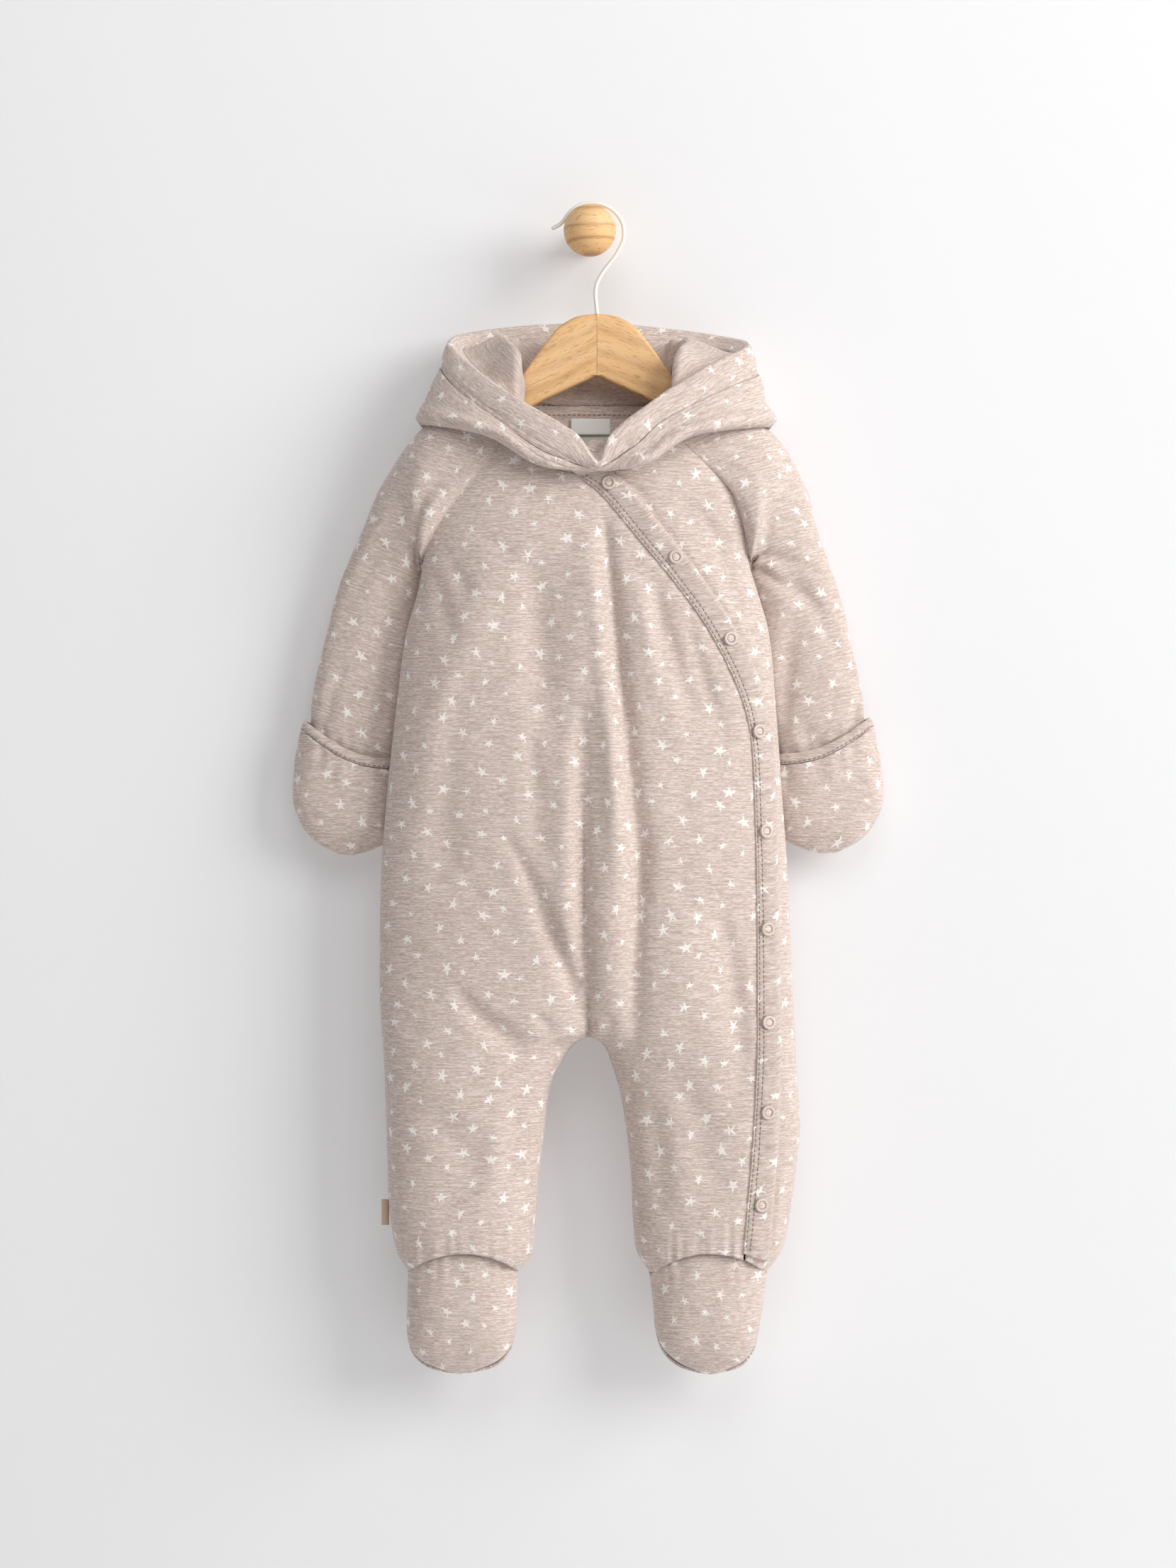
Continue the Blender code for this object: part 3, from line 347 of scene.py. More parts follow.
# ---- creases placed one by one -------------------------------------------------------------
# A positive depth is a trough, a negative one a ridge; bow bends the line to its right.
FRONT_CREASES = [
    # top x, top z, low x, low z, bow, half-width, depth
    (9.0, -188.0, 36.0, -460.0, 1.0, 7.0, 6.0),
    (9.5, -195.0, 36.0, -455.0, 1.0, 3.0, 3.4),
    (-2.0, -200.0, 22.0, -440.0, 1.0, 7.0, -3.2),
    (36.5, -395.0, 29.0, -562.0, -1.5, 7.5, 5.0),
    (36.5, -400.0, 30.0, -545.0, -1.5, 3.0, 2.6),
    (-4.5, -316.0, -2.0, -541.0, -2.0, 6.0, 5.5),
    (-4.0, -380.0, -1.5, -540.0, -1.0, 2.6, 3.4),
    (-14.0, -330.0, -13.0, -500.0, -2.0, 8.0, -2.6),
    (16.0, -310.0, 13.0, -528.0, 2.0, 11.0, -4.8),
    (44.0, -246.0, 54.0, -330.0, -2.0, 5.0, 2.6),
    (-40.0, -330.0, -36.0, -430.0, 2.0, 7.0, 2.2),
    (-57.0, -404.0, -6.0, -532.0, 5.0, 6.0, 4.8),
    (-38.0, -452.0, -7.0, -516.0, 2.0, 5.0, 3.0),
    (-16.0, -492.0, -6.0, -518.0, 1.0, 3.5, 2.2),
    (-92.0, -508.0, -33.0, -548.0, -6.0, 7.5, 4.2),
    (-37.0, -524.0, -22.0, -542.0, 0.0, 4.5, 3.2),
    (-72.0, -528.0, -46.0, -560.0, 3.0, 7.0, 2.6),
    (15.0, -526.0, 10.0, -545.0, 0.0, 4.0, 2.6),
    (-34.0, -222.0, -26.0, -352.0, -4.0, 13.0, 4.6),
    (-62.0, -218.0, -112.0, -392.0, -8.0, 18.0, -4.4),
    (-86.0, -300.0, -96.0, -450.0, -5.0, 11.0, 3.4),
    (-8.0, -206.0, -6.0, -318.0, 2.0, 12.0, -3.0),
    (28.0, -236.0, 62.0, -352.0, 2.0, 9.0, -3.2),
    (42.0, -232.0, 74.0, -336.0, -4.0, 7.5, 4.6),
    (66.0, -262.0, 92.0, -346.0, -3.0, 6.0, 3.2),
    (86.0, -452.0, 101.0, -588.0, 4.0, 8.0, 4.4),
    (60.0, -446.0, 66.0, -540.0, 2.0, 15.0, -3.4),
    (56.0, -560.0, 84.0, -664.0, 6.0, 12.0, 2.8),
    (-106.0, -228.0, -92.0, -286.0, 2.0, 6.0, 2.8),
    (-100.0, -214.0, -80.0, -250.0, 2.0, 5.0, 2.0),
    (-120.0, -585.0, -70.0, -640.0, 6.0, 12.0, 2.6),
    (-58.0, -600.0, -78.0, -668.0, 3.0, 11.0, -2.4),
    (-44.0, -570.0, -52.0, -640.0, -2.0, 7.0, 2.4),
    (40.0, -580.0, 48.0, -660.0, 2.0, 7.0, 2.2),
]
SIDE_CREASES = [
    (72.0, -186.0, 100.0, -268.0, 5.0, 5.0, 4.6),
    (84.0, -196.0, 104.0, -248.0, 3.0, 4.5, 3.4),
    (58.0, -178.0, 84.0, -226.0, 2.0, 7.0, 2.6),
    (104.0, -232.0, 115.0, -318.0, 2.0, 5.0, 3.0),
    (128.0, -430.0, 131.0, -560.0, 0.5, 3.6, 2.0),
    (130.0, -560.0, 128.0, -640.0, 0.5, 4.0, 1.8),
]
BACK_CREASES = [
    (-70.0, -190.0, -86.0, -360.0, -6.0, 13.0, 3.2),
    (-22.0, -230.0, -30.0, -430.0, 4.0, 12.0, 3.0),
    (38.0, -200.0, 30.0, -400.0, -4.0, 11.0, 3.4),
    (78.0, -220.0, 96.0, -390.0, 5.0, 13.0, 2.8),
    (-4.0, -400.0, -1.0, -540.0, 2.0, 7.0, 4.6),
    (-60.0, -420.0, -8.0, -528.0, 5.0, 8.0, 3.8),
    (58.0, -430.0, 6.0, -530.0, -5.0, 8.0, 3.4),
    (-108.0, -520.0, -40.0, -566.0, -5.0, 10.0, 3.4),
    (104.0, -530.0, 40.0, -570.0, 5.0, 10.0, 3.2),
    (-80.0, -590.0, -92.0, -670.0, 3.0, 11.0, 2.6),
    (78.0, -596.0, 90.0, -668.0, -3.0, 11.0, 2.6),
]
# Sleeve creases on the sleeve's own grid: how far round (0 outer edge, 0.25 front middle,
# 0.5 inner edge), how far down, turn round for each step down, spreads and depth.
SLEEVE_CREASES = {
    "left": [
        # around, down, lean, spread around, spread down, depth
        (0.30, 0.20, 0.5, 0.035, 0.12, 3.4),
        (0.38, 0.30, 0.7, 0.030, 0.10, 3.0),
        (0.20, 0.42, -0.3, 0.040, 0.16, 1.8),
        (0.30, 0.60, 0.2, 0.035, 0.16, 2.2),
        (0.16, 0.78, -0.2, 0.030, 0.10, 1.8),
        (0.33, 0.86, 0.3, 0.030, 0.08, 2.4),
        (0.72, 0.35, 0.4, 0.040, 0.14, 2.6),
        (0.80, 0.62, -0.3, 0.040, 0.16, 2.2),
    ],
    "right": [
        (0.40, 0.32, -1.5, 0.030, 0.10, 4.4),
        (0.36, 0.42, -1.3, 0.030, 0.10, 3.8),
        (0.27, 0.24, 0.6, 0.035, 0.12, 3.0),
        (0.22, 0.52, -0.5, 0.035, 0.14, 2.2),
        (0.32, 0.70, 0.4, 0.035, 0.14, 2.6),
        (0.10, 0.88, 0.2, 0.024, 0.07, 2.8),
        (0.28, 0.90, -0.2, 0.028, 0.07, 2.4),
        (0.70, 0.32, -0.5, 0.040, 0.14, 2.6),
        (0.78, 0.66, 0.3, 0.040, 0.16, 2.2),
    ],
}


# ---- curves read from the tables -----------------------------------------------------------
def column(table, index):
    """One column of a table."""
    return np.array([row[index] for row in table], float)


def bell(offset, spread):
    """A bump of height 1 where offset is 0: e to the power of -(offset / spread) squared."""
    return np.exp(-((offset / spread) ** 2))


def closed(ring):
    """A ring's points with the first one again at the end."""
    return np.concatenate([ring, ring[:1]])


def running_length(points):
    """Distance run along a path at each of its points."""
    return np.concatenate([[0.0], np.cumsum(np.linalg.norm(np.diff(points, axis=0), axis=1))])


def read_path(values, length, at):
    """Values kept at each point of a path, read at other distances along it."""
    return np.stack([np.interp(at, length, values[:, i]) for i in range(3)], -1)


def unit(vectors):
    """Rows of vectors drawn to length 1."""
    return vectors / np.linalg.norm(vectors, axis=1, keepdims=True)


def ring_angles(steps):
    """Angles once round a ring."""
    return 2 * math.pi * np.arange(steps) / steps


def shares(rows, steps):
    """Two grids on a ring surface: how far round each point lies, and how far down."""
    round_it = (np.arange(steps) / steps)[None] + np.zeros((rows, 1))
    down_it = np.linspace(0, 1, rows)[:, None] + np.zeros((1, steps))
    return round_it, down_it


def smooth_read(knots, values, at):
    """Cubic Hermite reading: each row's slope is the mean of its neighbours', or flat at a turn."""
    at = np.clip(np.asarray(at, float), knots[0], knots[-1])
    steps = np.diff(knots)
    slopes = np.diff(values) / steps
    tangents = np.concatenate([slopes[:1], (slopes[:-1] + slopes[1:]) / 2, slopes[-1:]])
    flat = np.concatenate([[False], slopes[:-1] * slopes[1:] <= 0, [False]])
    tangents[flat] = 0.0
    k = np.clip(np.searchsorted(knots, at, side="right") - 1, 0, len(steps) - 1)
    t = (at - knots[k]) / steps[k]
    h = steps[k]
    return (
        values[k] * (1 + 2 * t) * (1 - t) ** 2
        + tangents[k] * h * t * (1 - t) ** 2
        + values[k + 1] * t**2 * (3 - 2 * t)
        + tangents[k + 1] * h * t**2 * (t - 1)
    )


def down(table, index, z):
    """Column `index` of a table at height z."""
    return smooth_read(column(table, 0)[::-1], column(table, index)[::-1], z)


def along(points, at):
    """A smooth curve through rows of points, read at positions from 0 to 1."""
    points = np.asarray(points, float)
    knots = np.linspace(0.0, 1.0, len(points))
    return np.stack([smooth_read(knots, points[:, i], at) for i in range(points.shape[1])], -1)


def around(points, at):
    """The same for a closed ring, where position 1 is position 0 again."""
    points = np.asarray(points, float)
    wrapped = np.concatenate([points[-2:], points, points[:3]])
    knots = (np.arange(len(wrapped)) - 2) / len(points)
    at = np.mod(at, 1.0)
    return np.stack([smooth_read(knots, wrapped[:, i], at) for i in range(points.shape[1])], -1)


def bent_through(points, count):
    """A curve through points whose slope at each is the line between its neighbours."""
    points = np.asarray(points, float)
    length = running_length(points)
    slopes = np.gradient(points, length, axis=0)
    at = np.linspace(0.0, length[-1], count)
    k = np.clip(np.searchsorted(length, at, side="right") - 1, 0, len(points) - 2)
    h = np.diff(length)[k][:, None]
    t = (at - length[k])[:, None] / h
    return (points[k] * (1 + 2 * t) * (1 - t) ** 2 + slopes[k] * h * t * (1 - t) ** 2
            + points[k + 1] * t**2 * (3 - 2 * t) + slopes[k + 1] * h * t**2 * (t - 1))


def rows_between(rings, count, start=0.0):
    """`count` rows of points running smoothly through a few rings of equal length."""
    rings = np.asarray(rings, float)
    at = np.linspace(start, 1.0, count)
    return along(rings.reshape(len(rings), -1), at).reshape(count, -1, 3)


def ripple(a, b, size, seed):
    """Soft unevenness: five crossed sine waves near wavelength `size`, between -1 and 1."""
    total = np.zeros(np.broadcast(a, b).shape)
    for k in range(5):
        turn = seed * 1.7 + k * 2.399
        wave = size * (0.7 + 0.17 * k)
        phase = seed * 3.1 + k * 1.3
        total = total + np.sin((a * math.cos(turn) + b * math.sin(turn)) * 2 * math.pi / wave + phase)
    return total / 5


def two_ripples(a, b, broad, fine):
    """A broad ripple and a fine one on it, each by its height, its length and its seed."""
    return sum(height * ripple(a, b, *rest) for height, *rest in (broad, fine))


# ---- the body's surface --------------------------------------------------------------------
def dome(t):
    """Height of a superellipse over t, which runs from -1 to 1."""
    return (1 - np.minimum(np.abs(t), 1.0) ** ROUND) ** (1 / ROUND)


def body_swell(x, z):
    """How full the body is: a dome over the torso that becomes one dome on each leg."""
    on_left = x < CENTRE_X
    side = np.where(on_left, down(SIDES, 1, z), down(SIDES, 2, z))
    torso = dome((x - CENTRE_X) / (side - CENTRE_X))
    inseam = np.where(on_left, down(INSEAMS, 1, z), down(INSEAMS, 2, z))
    leg = dome((2 * x - side - inseam) / (side - inseam))
    drop = np.clip((BLEND_TOP_Z - z) / (BLEND_TOP_Z - CROTCH_Z), 0.0, 1.0)
    share = 1 - np.sqrt(np.maximum(1 - drop**2, 0.0))
    return torso * (1 - share) + leg * share


def creases(table, x, z):
    """Each crease is a bell across a bowed line, fading out towards both of its ends."""
    total = np.zeros(np.shape(x))
    for top_x, top_z, low_x, low_z, bow, width, depth in table:
        run = np.array([low_x - top_x, low_z - top_z])
        length = np.hypot(*run)
        run = run / length
        s = ((x - top_x) * run[0] + (z - top_z) * run[1]) / length
        arc = 4 * s * (1 - s)
        off = (x - top_x) * -run[1] + (z - top_z) * run[0] - bow * arc
        ends = np.clip(arc, 0.0, 1.0)
        total += depth * ends**0.7 * np.exp(-((off / (width * (0.75 + 0.5 * s))) ** 2))
    return total


def crotch_wall(x, z):
    """Keeps the two walls apart where front and back meet at the crotch."""
    return CROTCH_GAP * WALL * bell(np.hypot(x - CENTRE_X, (z - CROTCH_Z) / 2), CROTCH_REACH)


def foot_gathers(x, z):
    """Short upright ripples where the leg is eased onto the foot's seam."""
    near = np.clip((FOOT_FADE_Z - 8 - (z - arch(x, z))) / 52.0, 0.0, 1.0) ** 2
    wave = np.sin(x * 0.62 + 1.4 * np.sin(x * 0.21)) + 0.5 * np.sin(x * 1.13 + 2.0)
    return near * wave * 0.75


def softness(x, z, seed):
    """Unevenness of the padding: broad swells with smaller dimples on them."""
    return 1.1 * ripple(x, z * 0.7, 74.0, seed) + 0.45 * ripple(x, z, 27.0, seed + 5)


def band_edge(first, z):
    """x of the placket's seam (0) or free edge (2) at height z."""
    return smooth_read(column(BAND, first + 1)[::-1], column(BAND, first)[::-1], z)


def seam_pull(x, z):
    """The front is drawn in by its stitching along the wrap's seam and the raglan seams."""
    below = np.where(z < ARMPIT_Z, FAR, 0.0)
    wrap = 0.5 * bell(x - band_edge(0, z), 2.2)
    free = 1.9 * bell(x - band_edge(2, z) - BAND_TROUGH_OFF, 2.3)
    left, right = (bell(np.abs(x - down(RAGLAN, side, z)) + below, 5) for side in (1, 2))
    return wrap + free + 1.2 * (left + right)


def front_y(x, z, fine=1.0):
    """Depth of the front: the dome less its creases, softened by the padding's unevenness."""
    swell = body_swell(x, z)
    pressed = creases(FRONT_CREASES, x, z) + creases(SIDE_CREASES, x, z)
    detail = pressed + fine * (softness(x, z, 1.0) + seam_pull(x, z)) + foot_gathers(x, z)
    depth = (down(DEPTHS, 1, z) - detail) * swell
    return MID_Y - SEAM_HALF - depth - crotch_wall(x, z)


def back_y(x, z):
    """Depth of the back: a flatter dome with its own creases."""
    swell = body_swell(x, z)
    detail = creases(BACK_CREASES, x, z) + softness(x, z, 4.0) + foot_gathers(x + 3, z)
    return MID_Y + SEAM_HALF + (down(DEPTHS, 2, z) - detail) * swell + crotch_wall(x, z)


def lifted(x, z, height):
    """The front's points moved straight out of the cloth, and the way out."""
    def slope(dx, dz):
        rise = front_y(x + dx, z + dz) - front_y(x - dx, z - dz)
        return np.clip(rise / (2 * SLOPE_STEP), -STEEPEST, STEEPEST)
    slope_x, slope_z = slope(SLOPE_STEP, 0.0), slope(0.0, SLOPE_STEP)
    out = np.stack([slope_x, -np.ones_like(slope_x), slope_z], -1)
    out /= np.linalg.norm(out, axis=-1, keepdims=True)
    return np.stack([x, front_y(x, z), z], -1) + np.asarray(height)[..., None] * out, out


def side_x(index, z):
    """Raglan seam above the armpit, side seam below it."""
    return np.where(z > ARMPIT_Z, down(RAGLAN, index, z), down(SIDES, index, z))


def arch(x, z):
    """How far the foot's seam lifts the row at x, fading out up the leg."""
    centre = np.where(x < CENTRE_X, LEG_CENTRES[0], LEG_CENTRES[1])
    lift = ARCH_RISE * np.clip(1 - ((x - centre) / ARCH_HALF) ** 2, 0.0, 1.0) ** 0.75
    fade = np.clip((FOOT_FADE_Z - z) / (FOOT_FADE_Z - FOOT_Z), 0.0, 1.0)
    return lift * fade**1.5


def front_warp(x, z, top_z):
    """Rows follow the neckline at the top and the foot's seam at the bottom."""
    line = smooth_read(column(NECKLINE, 0), column(NECKLINE, 1), x)
    fade = np.clip((z - NECK_FADE_Z) / (top_z - NECK_FADE_Z), 0.0, 1.0)
    return (line - top_z) * fade + arch(x, z)


def straight_rows(x, z, top_z):
    """Rows that aren't bent."""
    return np.zeros_like(x)


def settle(edges, fractions, heights, top_z, warp):
    """x and z of a grid between two edges whose rows bend by `warp`."""
    row_z = np.repeat(heights[:, None], fractions.shape[1], 1)
    z = row_z.copy()
    for _ in range(SETTLE_STEPS):
        low, high = edges[0](z), edges[1](z)
        x = low + (high - low) * fractions
        z = (z + row_z + warp(x, row_z, top_z)) / 2
    return x, z


def centre_edge(z):
    """Line between the halves of a panel, which leans towards the left neck point at its top."""
    rise = np.clip((z - CENTRE_LEAN_Z) / (max(column(NECKLINE, 1)) - CENTRE_LEAN_Z), 0.0, 1.0)
    return CENTRE_X - CENTRE_LEAN * rise


def band_seam(offset):
    """An edge that follows the placket's seam at a distance."""
    return lambda z: band_edge(0, z) + offset


def near_start(count):
    """Fractions from 0 to 1, closer together at 0."""
    u = np.linspace(0.0, 1.0, count)
    return u * (1 - START_TIGHT) + START_TIGHT * (1 - np.cos(math.pi * u / 2))


def near_ends(count, tight=0.8):
    """Fractions from 0 to 1, closer together at both ends."""
    u = np.linspace(0.0, 1.0, count)
    return u * (1 - tight) + tight * (1 - np.cos(math.pi * u)) / 2


# ---- meshes --------------------------------------------------------------------------------
def grid_index(grid):
    """Vertex numbers of a grid of points."""
    rows, cols = grid.shape[:2]
    return np.arange(rows * cols).reshape(rows, cols)


def quads(index, ring=False):
    """Four corners of every cell of an index grid; a ring joins its last column to its first."""
    if ring:
        index = np.concatenate([index, index[:, :1]], 1)
    return np.stack([index[:-1, :-1], index[1:, :-1], index[1:, 1:], index[:-1, 1:]], -1).reshape(-1, 4)


def linked(name, data):
    """Puts a mesh, light or camera in the scene."""
    made = bpy.data.objects.new(name, data)
    bpy.context.collection.objects.link(made)
    return made


def link_mesh(name, mesh, look):
    """Puts a mesh in the scene as a piece, smooth and with its finish."""
    mesh.shade_smooth()
    mesh.materials.append(finish(look))
    return linked(name + "_fine", mesh)


def make_mesh(name, points, faces, look, uv=None, wall=0.0):
    """A piece from millimetre points; uv, in millimetres on the cut cloth, is kept in metres."""
    mesh = bpy.data.meshes.new(name)
    faces = np.asarray(faces)
    mesh.vertices.add(len(points))
    mesh.vertices.foreach_set("co", (np.asarray(points, float) * MM).astype(np.float32).ravel())
    mesh.loops.add(faces.size)
    mesh.loops.foreach_set("vertex_index", faces.astype(np.int32).ravel())
    mesh.polygons.add(len(faces))
    mesh.polygons.foreach_set("loop_start", np.arange(0, faces.size, faces.shape[1], dtype=np.int32))
    mesh.update(calc_edges=True)
    if uv is not None:
        layer = mesh.uv_layers.new(name="cut")
        layer.data.foreach_set("uv", (np.asarray(uv)[faces.ravel()] * MM).astype(np.float32).ravel())
    piece = link_mesh(name, mesh, look)
    if wall:
        solidify = piece.modifiers.new("wall", "SOLIDIFY")
        solidify.thickness = wall * MM
        solidify.offset = -1.0
        solidify.use_rim = True
        solidify.use_even_offset = False
    return piece


def capped_tube(name, grid, look, flip=False, sharp=None):
    """A tube from rings of points, closed by one flat face at each end."""
    index = grid_index(grid)
    faces = quads(index, ring=True).tolist() + [index[0].tolist(), index[-1][::-1].tolist()]
    if flip:
        faces = [face[::-1] for face in faces]
    mesh = bpy.data.meshes.new(name)
    mesh.from_pydata((grid.reshape(-1, 3) * MM).tolist(), [], faces)
    mesh.update()
    piece = link_mesh(name, mesh, look)
    if sharp:
        mesh.set_sharp_from_angle(angle=math.radians(sharp))
    return piece


SHORTEST_SHEET = 10.5  # the least length that a sheet's worked-out length is given


def fit(piece, node):
    """Rides with the suit and stands for its solid if it has one."""
    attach(piece, "root")
    if node:
        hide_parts(node)


def cloth(points, faces, widths):
    """Works out a piece of cloth's flat width and length, the width at least its area off the surface
    over the length; nothing uses them.
    """
    corners = np.asarray(points)[np.asarray(faces)]
    a, b, c, d = (corners[:, i] for i in range(4))
    area = np.linalg.norm(np.cross(c - a, d - b), axis=1).sum() / 2
    width, length = widths
    length = max(length, SHORTEST_SHEET)
    width = max(width, area / length * 1.001)
    width * MM
    length * MM


def grid_piece(name, grid, look, uv, wall=0.0, ring=False, flip=False):
    """One piece from a grid of points."""
    faces = quads(grid_index(grid), ring)
    if flip:
        faces = faces[:, ::-1]
    points = grid.reshape(-1, 3)
    return make_mesh(name, points, faces, look, uv.reshape(-1, 2), wall), points, faces


def cloth_piece(name, grid, look, uv, wall, slot="jersey", held="hung", ring=False, flip=False):
    """A piece of cloth from a grid of points, in place of its solid, its flat sizes worked out."""
    piece, points, faces = grid_piece(name, grid, look, uv, wall, ring, flip)
    fit(piece, name)
    cloth(points, faces, spans(grid))


def arc_length(points, axis):
    """Running length along one direction of a grid."""
    step = np.linalg.norm(np.diff(points, axis=axis), axis=-1)
    pad = [(0, 0), (0, 0)]
    pad[axis] = (1, 0)
    return np.cumsum(np.pad(step, pad), axis=axis)


def spans(grid):
    """Longest run across and down a grid."""
    return arc_length(grid, 1)[:, -1].max(), arc_length(grid, 0)[-1].max()


def wrap_uv(grid, anchor, across=(1.0, 0.0), down=(0.0, 1.0)):
    """Pattern places in a piece's own directions, which are pairs of x and z.

    The first number is the distance round the body, leaving out any run along it, from the anchor
    column, which keeps its own place; the second is the place along the body.
    """
    flat = grid[..., [0, 2]]
    q, v = flat @ np.array(across), flat @ np.array(down)
    step = np.hypot(np.diff(q, axis=1), np.diff(grid[..., 1], axis=1))
    run = np.cumsum(np.pad(step, [(0, 0), (1, 0)]), axis=1)
    return np.stack([q[:, anchor, None] + run - run[:, anchor, None], v], -1)


def hood_uv(grid, shift):
    """Pattern places round the hood: each row spread over the mean length across, shifted along it."""
    across = arc_length(grid, 1)
    u = (across / np.maximum(across[:, -1:], 1e-6) - 0.5) * across[:, -1].mean()
    return np.stack([u, -arc_length(grid, 0)], -1) + [shift, 0.0]


STITCH = [
    # share along a stitch, share of its thickness
    (0.0, 0.25),
    (0.12, 0.8),
    (0.5, 1.0),
    (0.88, 0.8),
    (1.0, 0.25),
]
STITCH_SIDES = 6
STITCH_ENDS = [(0, [0, 1, 2, 3]), (0, [0, 3, 4, 5]), (4, [0, 3, 2, 1]), (4, [0, 5, 4, 3])]


def stitch_row(path, out, long=2.5, gap=0.9, thick=0.42):
    """Points and faces of a row of stitches: short flat-ended barrels sunk halfway into the cloth."""
    path, out = np.asarray(path, float), np.asarray(out, float)
    length = running_length(path)
    starts = np.arange(0.0, length[-1] - long, long + gap)
    a, b = read_path(path, length, starts), read_path(path, length, starts + long)
    way = unit(b - a)
    across = unit(np.cross(way, read_path(out, length, starts)))
    up = np.cross(across, way)
    places, swells = np.array(STITCH).T
    turn = ring_angles(STITCH_SIDES)
    centre = a[:, None, :] + (b - a)[:, None, :] * places[None, :, None]
    ring = (np.cos(turn)[:, None] * across[:, None, None, :]
            + np.sin(turn)[:, None] * up[:, None, None, :])
    points = centre[:, :, None, :] + ring * (thick * swells)[None, :, None, None]
    index = np.arange(len(starts) * len(STITCH) * STITCH_SIDES).reshape(-1, len(STITCH), STITCH_SIDES)
    wrapped = np.concatenate([index, index[:, :, :1]], 2)
    body = np.stack([wrapped[:, :-1, :-1], wrapped[:, 1:, :-1],
                     wrapped[:, 1:, 1:], wrapped[:, :-1, 1:]], -1)
    ends = [index[:, row][:, corners] for row, corners in STITCH_ENDS]
    return points.reshape(-1, 3), np.concatenate([body.reshape(-1, 4)] + ends)


def stitches(name, rows):
    """Several stitch rows as one piece."""
    points, faces, base = [], [], 0
    for row_points, row_faces in rows:
        points.append(row_points)
        faces.append(row_faces + base)
        base += len(row_points)
    fit(make_mesh(name, np.concatenate(points), np.concatenate(faces), "thread_and_hole_shade"), None)


def tube(path, radius, steps):
    """Rings of a round tube, square to a path."""
    way = unit(np.gradient(path, axis=0))
    side = unit(np.cross(way, [0.0, 1.0, 0.0]))
    up = np.cross(side, way)
    turn = ring_angles(steps)
    ring = np.cos(turn)[None, :, None] * side[:, None] + np.sin(turn)[None, :, None] * up[:, None]
    return path[:, None] + ring * np.reshape(radius, (-1, 1, 1))


def lathe(profile, steps):
    """A turned surface: radius and height carried round the Z axis, poles closed by a tiny ring."""
    profile = np.asarray(profile, float)
    turn = ring_angles(steps)
    r = np.maximum(profile[:, 0:1], 1e-3)
    return np.stack([r * np.cos(turn), r * np.sin(turn), np.repeat(profile[:, 1:2], steps, 1)], -1)


def rounded(corners, radius):
    """A profile's corners made round by short quarter turns."""
    corners = np.asarray(corners, float)
    out = [corners[0]]
    t = np.linspace(0, 1, 5)[:, None]
    for before, here, after in zip(corners, corners[1:], corners[2:]):
        a, b = before - here, after - here
        reach = min(radius, np.hypot(*a) / 2, np.hypot(*b) / 2)
        start, end = here + a / np.hypot(*a) * reach, here + b / np.hypot(*b) * reach
        out.extend((1 - t) ** 2 * start + 2 * t * (1 - t) * here + t**2 * end)
    out.append(corners[-1])
    return np.array(out)


# ---- shader maths --------------------------------------------------------------------------
def shaded(colour, share):
    """A colour made darker or paler by a share."""
    return tuple(share * c for c in colour)


class Value:
    """A number socket in a material; arithmetic on it adds Math nodes."""

    def __init__(self, paint, socket):
        self.paint = paint
        self.socket = socket

    def _math(self, operation, *inputs):
        made = self.paint.node("ShaderNodeMath", {"operation": operation}, dict(enumerate(inputs)))
        return Value(self.paint, made.outputs[0])

    def __add__(self, other):
        return self._math("ADD", self, other)

    def __sub__(self, other):
        return self._math("SUBTRACT", self, other)

    def __mul__(self, other):
        return self._math("MULTIPLY", self, other)

    def __truediv__(self, other):
        return self._math("DIVIDE", self, other)

    def __rsub__(self, other):
        return self._math("SUBTRACT", other, self)

    def __rtruediv__(self, other):
        return self._math("DIVIDE", other, self)

    __radd__ = __add__
    __rmul__ = __mul__

    def __pow__(self, other):
        return self._math("POWER", self, other)

    def __abs__(self):
        return self._math("ABSOLUTE", self)

    def sin(self):
        return self._math("SINE", self)

    def cos(self):
        return self._math("COSINE", self)

    def sqrt(self):
        return self._math("SQRT", self)

    def angle_to(self, other):
        return self._math("ARCTAN2", self, other)

    def wrap(self, low, high):
        return self._math("WRAP", self, high, low)

    def smooth(self, low, high):
        """0 below low and 1 above high, with an eased step between."""
        made = self.paint.node(
            "ShaderNodeMapRange", {"interpolation_type": "SMOOTHSTEP", "clamp": True},
            {"Value": self, "From Min": low, "From Max": high, "To Min": 0.0, "To Max": 1.0})
        return Value(self.paint, made.outputs["Result"])


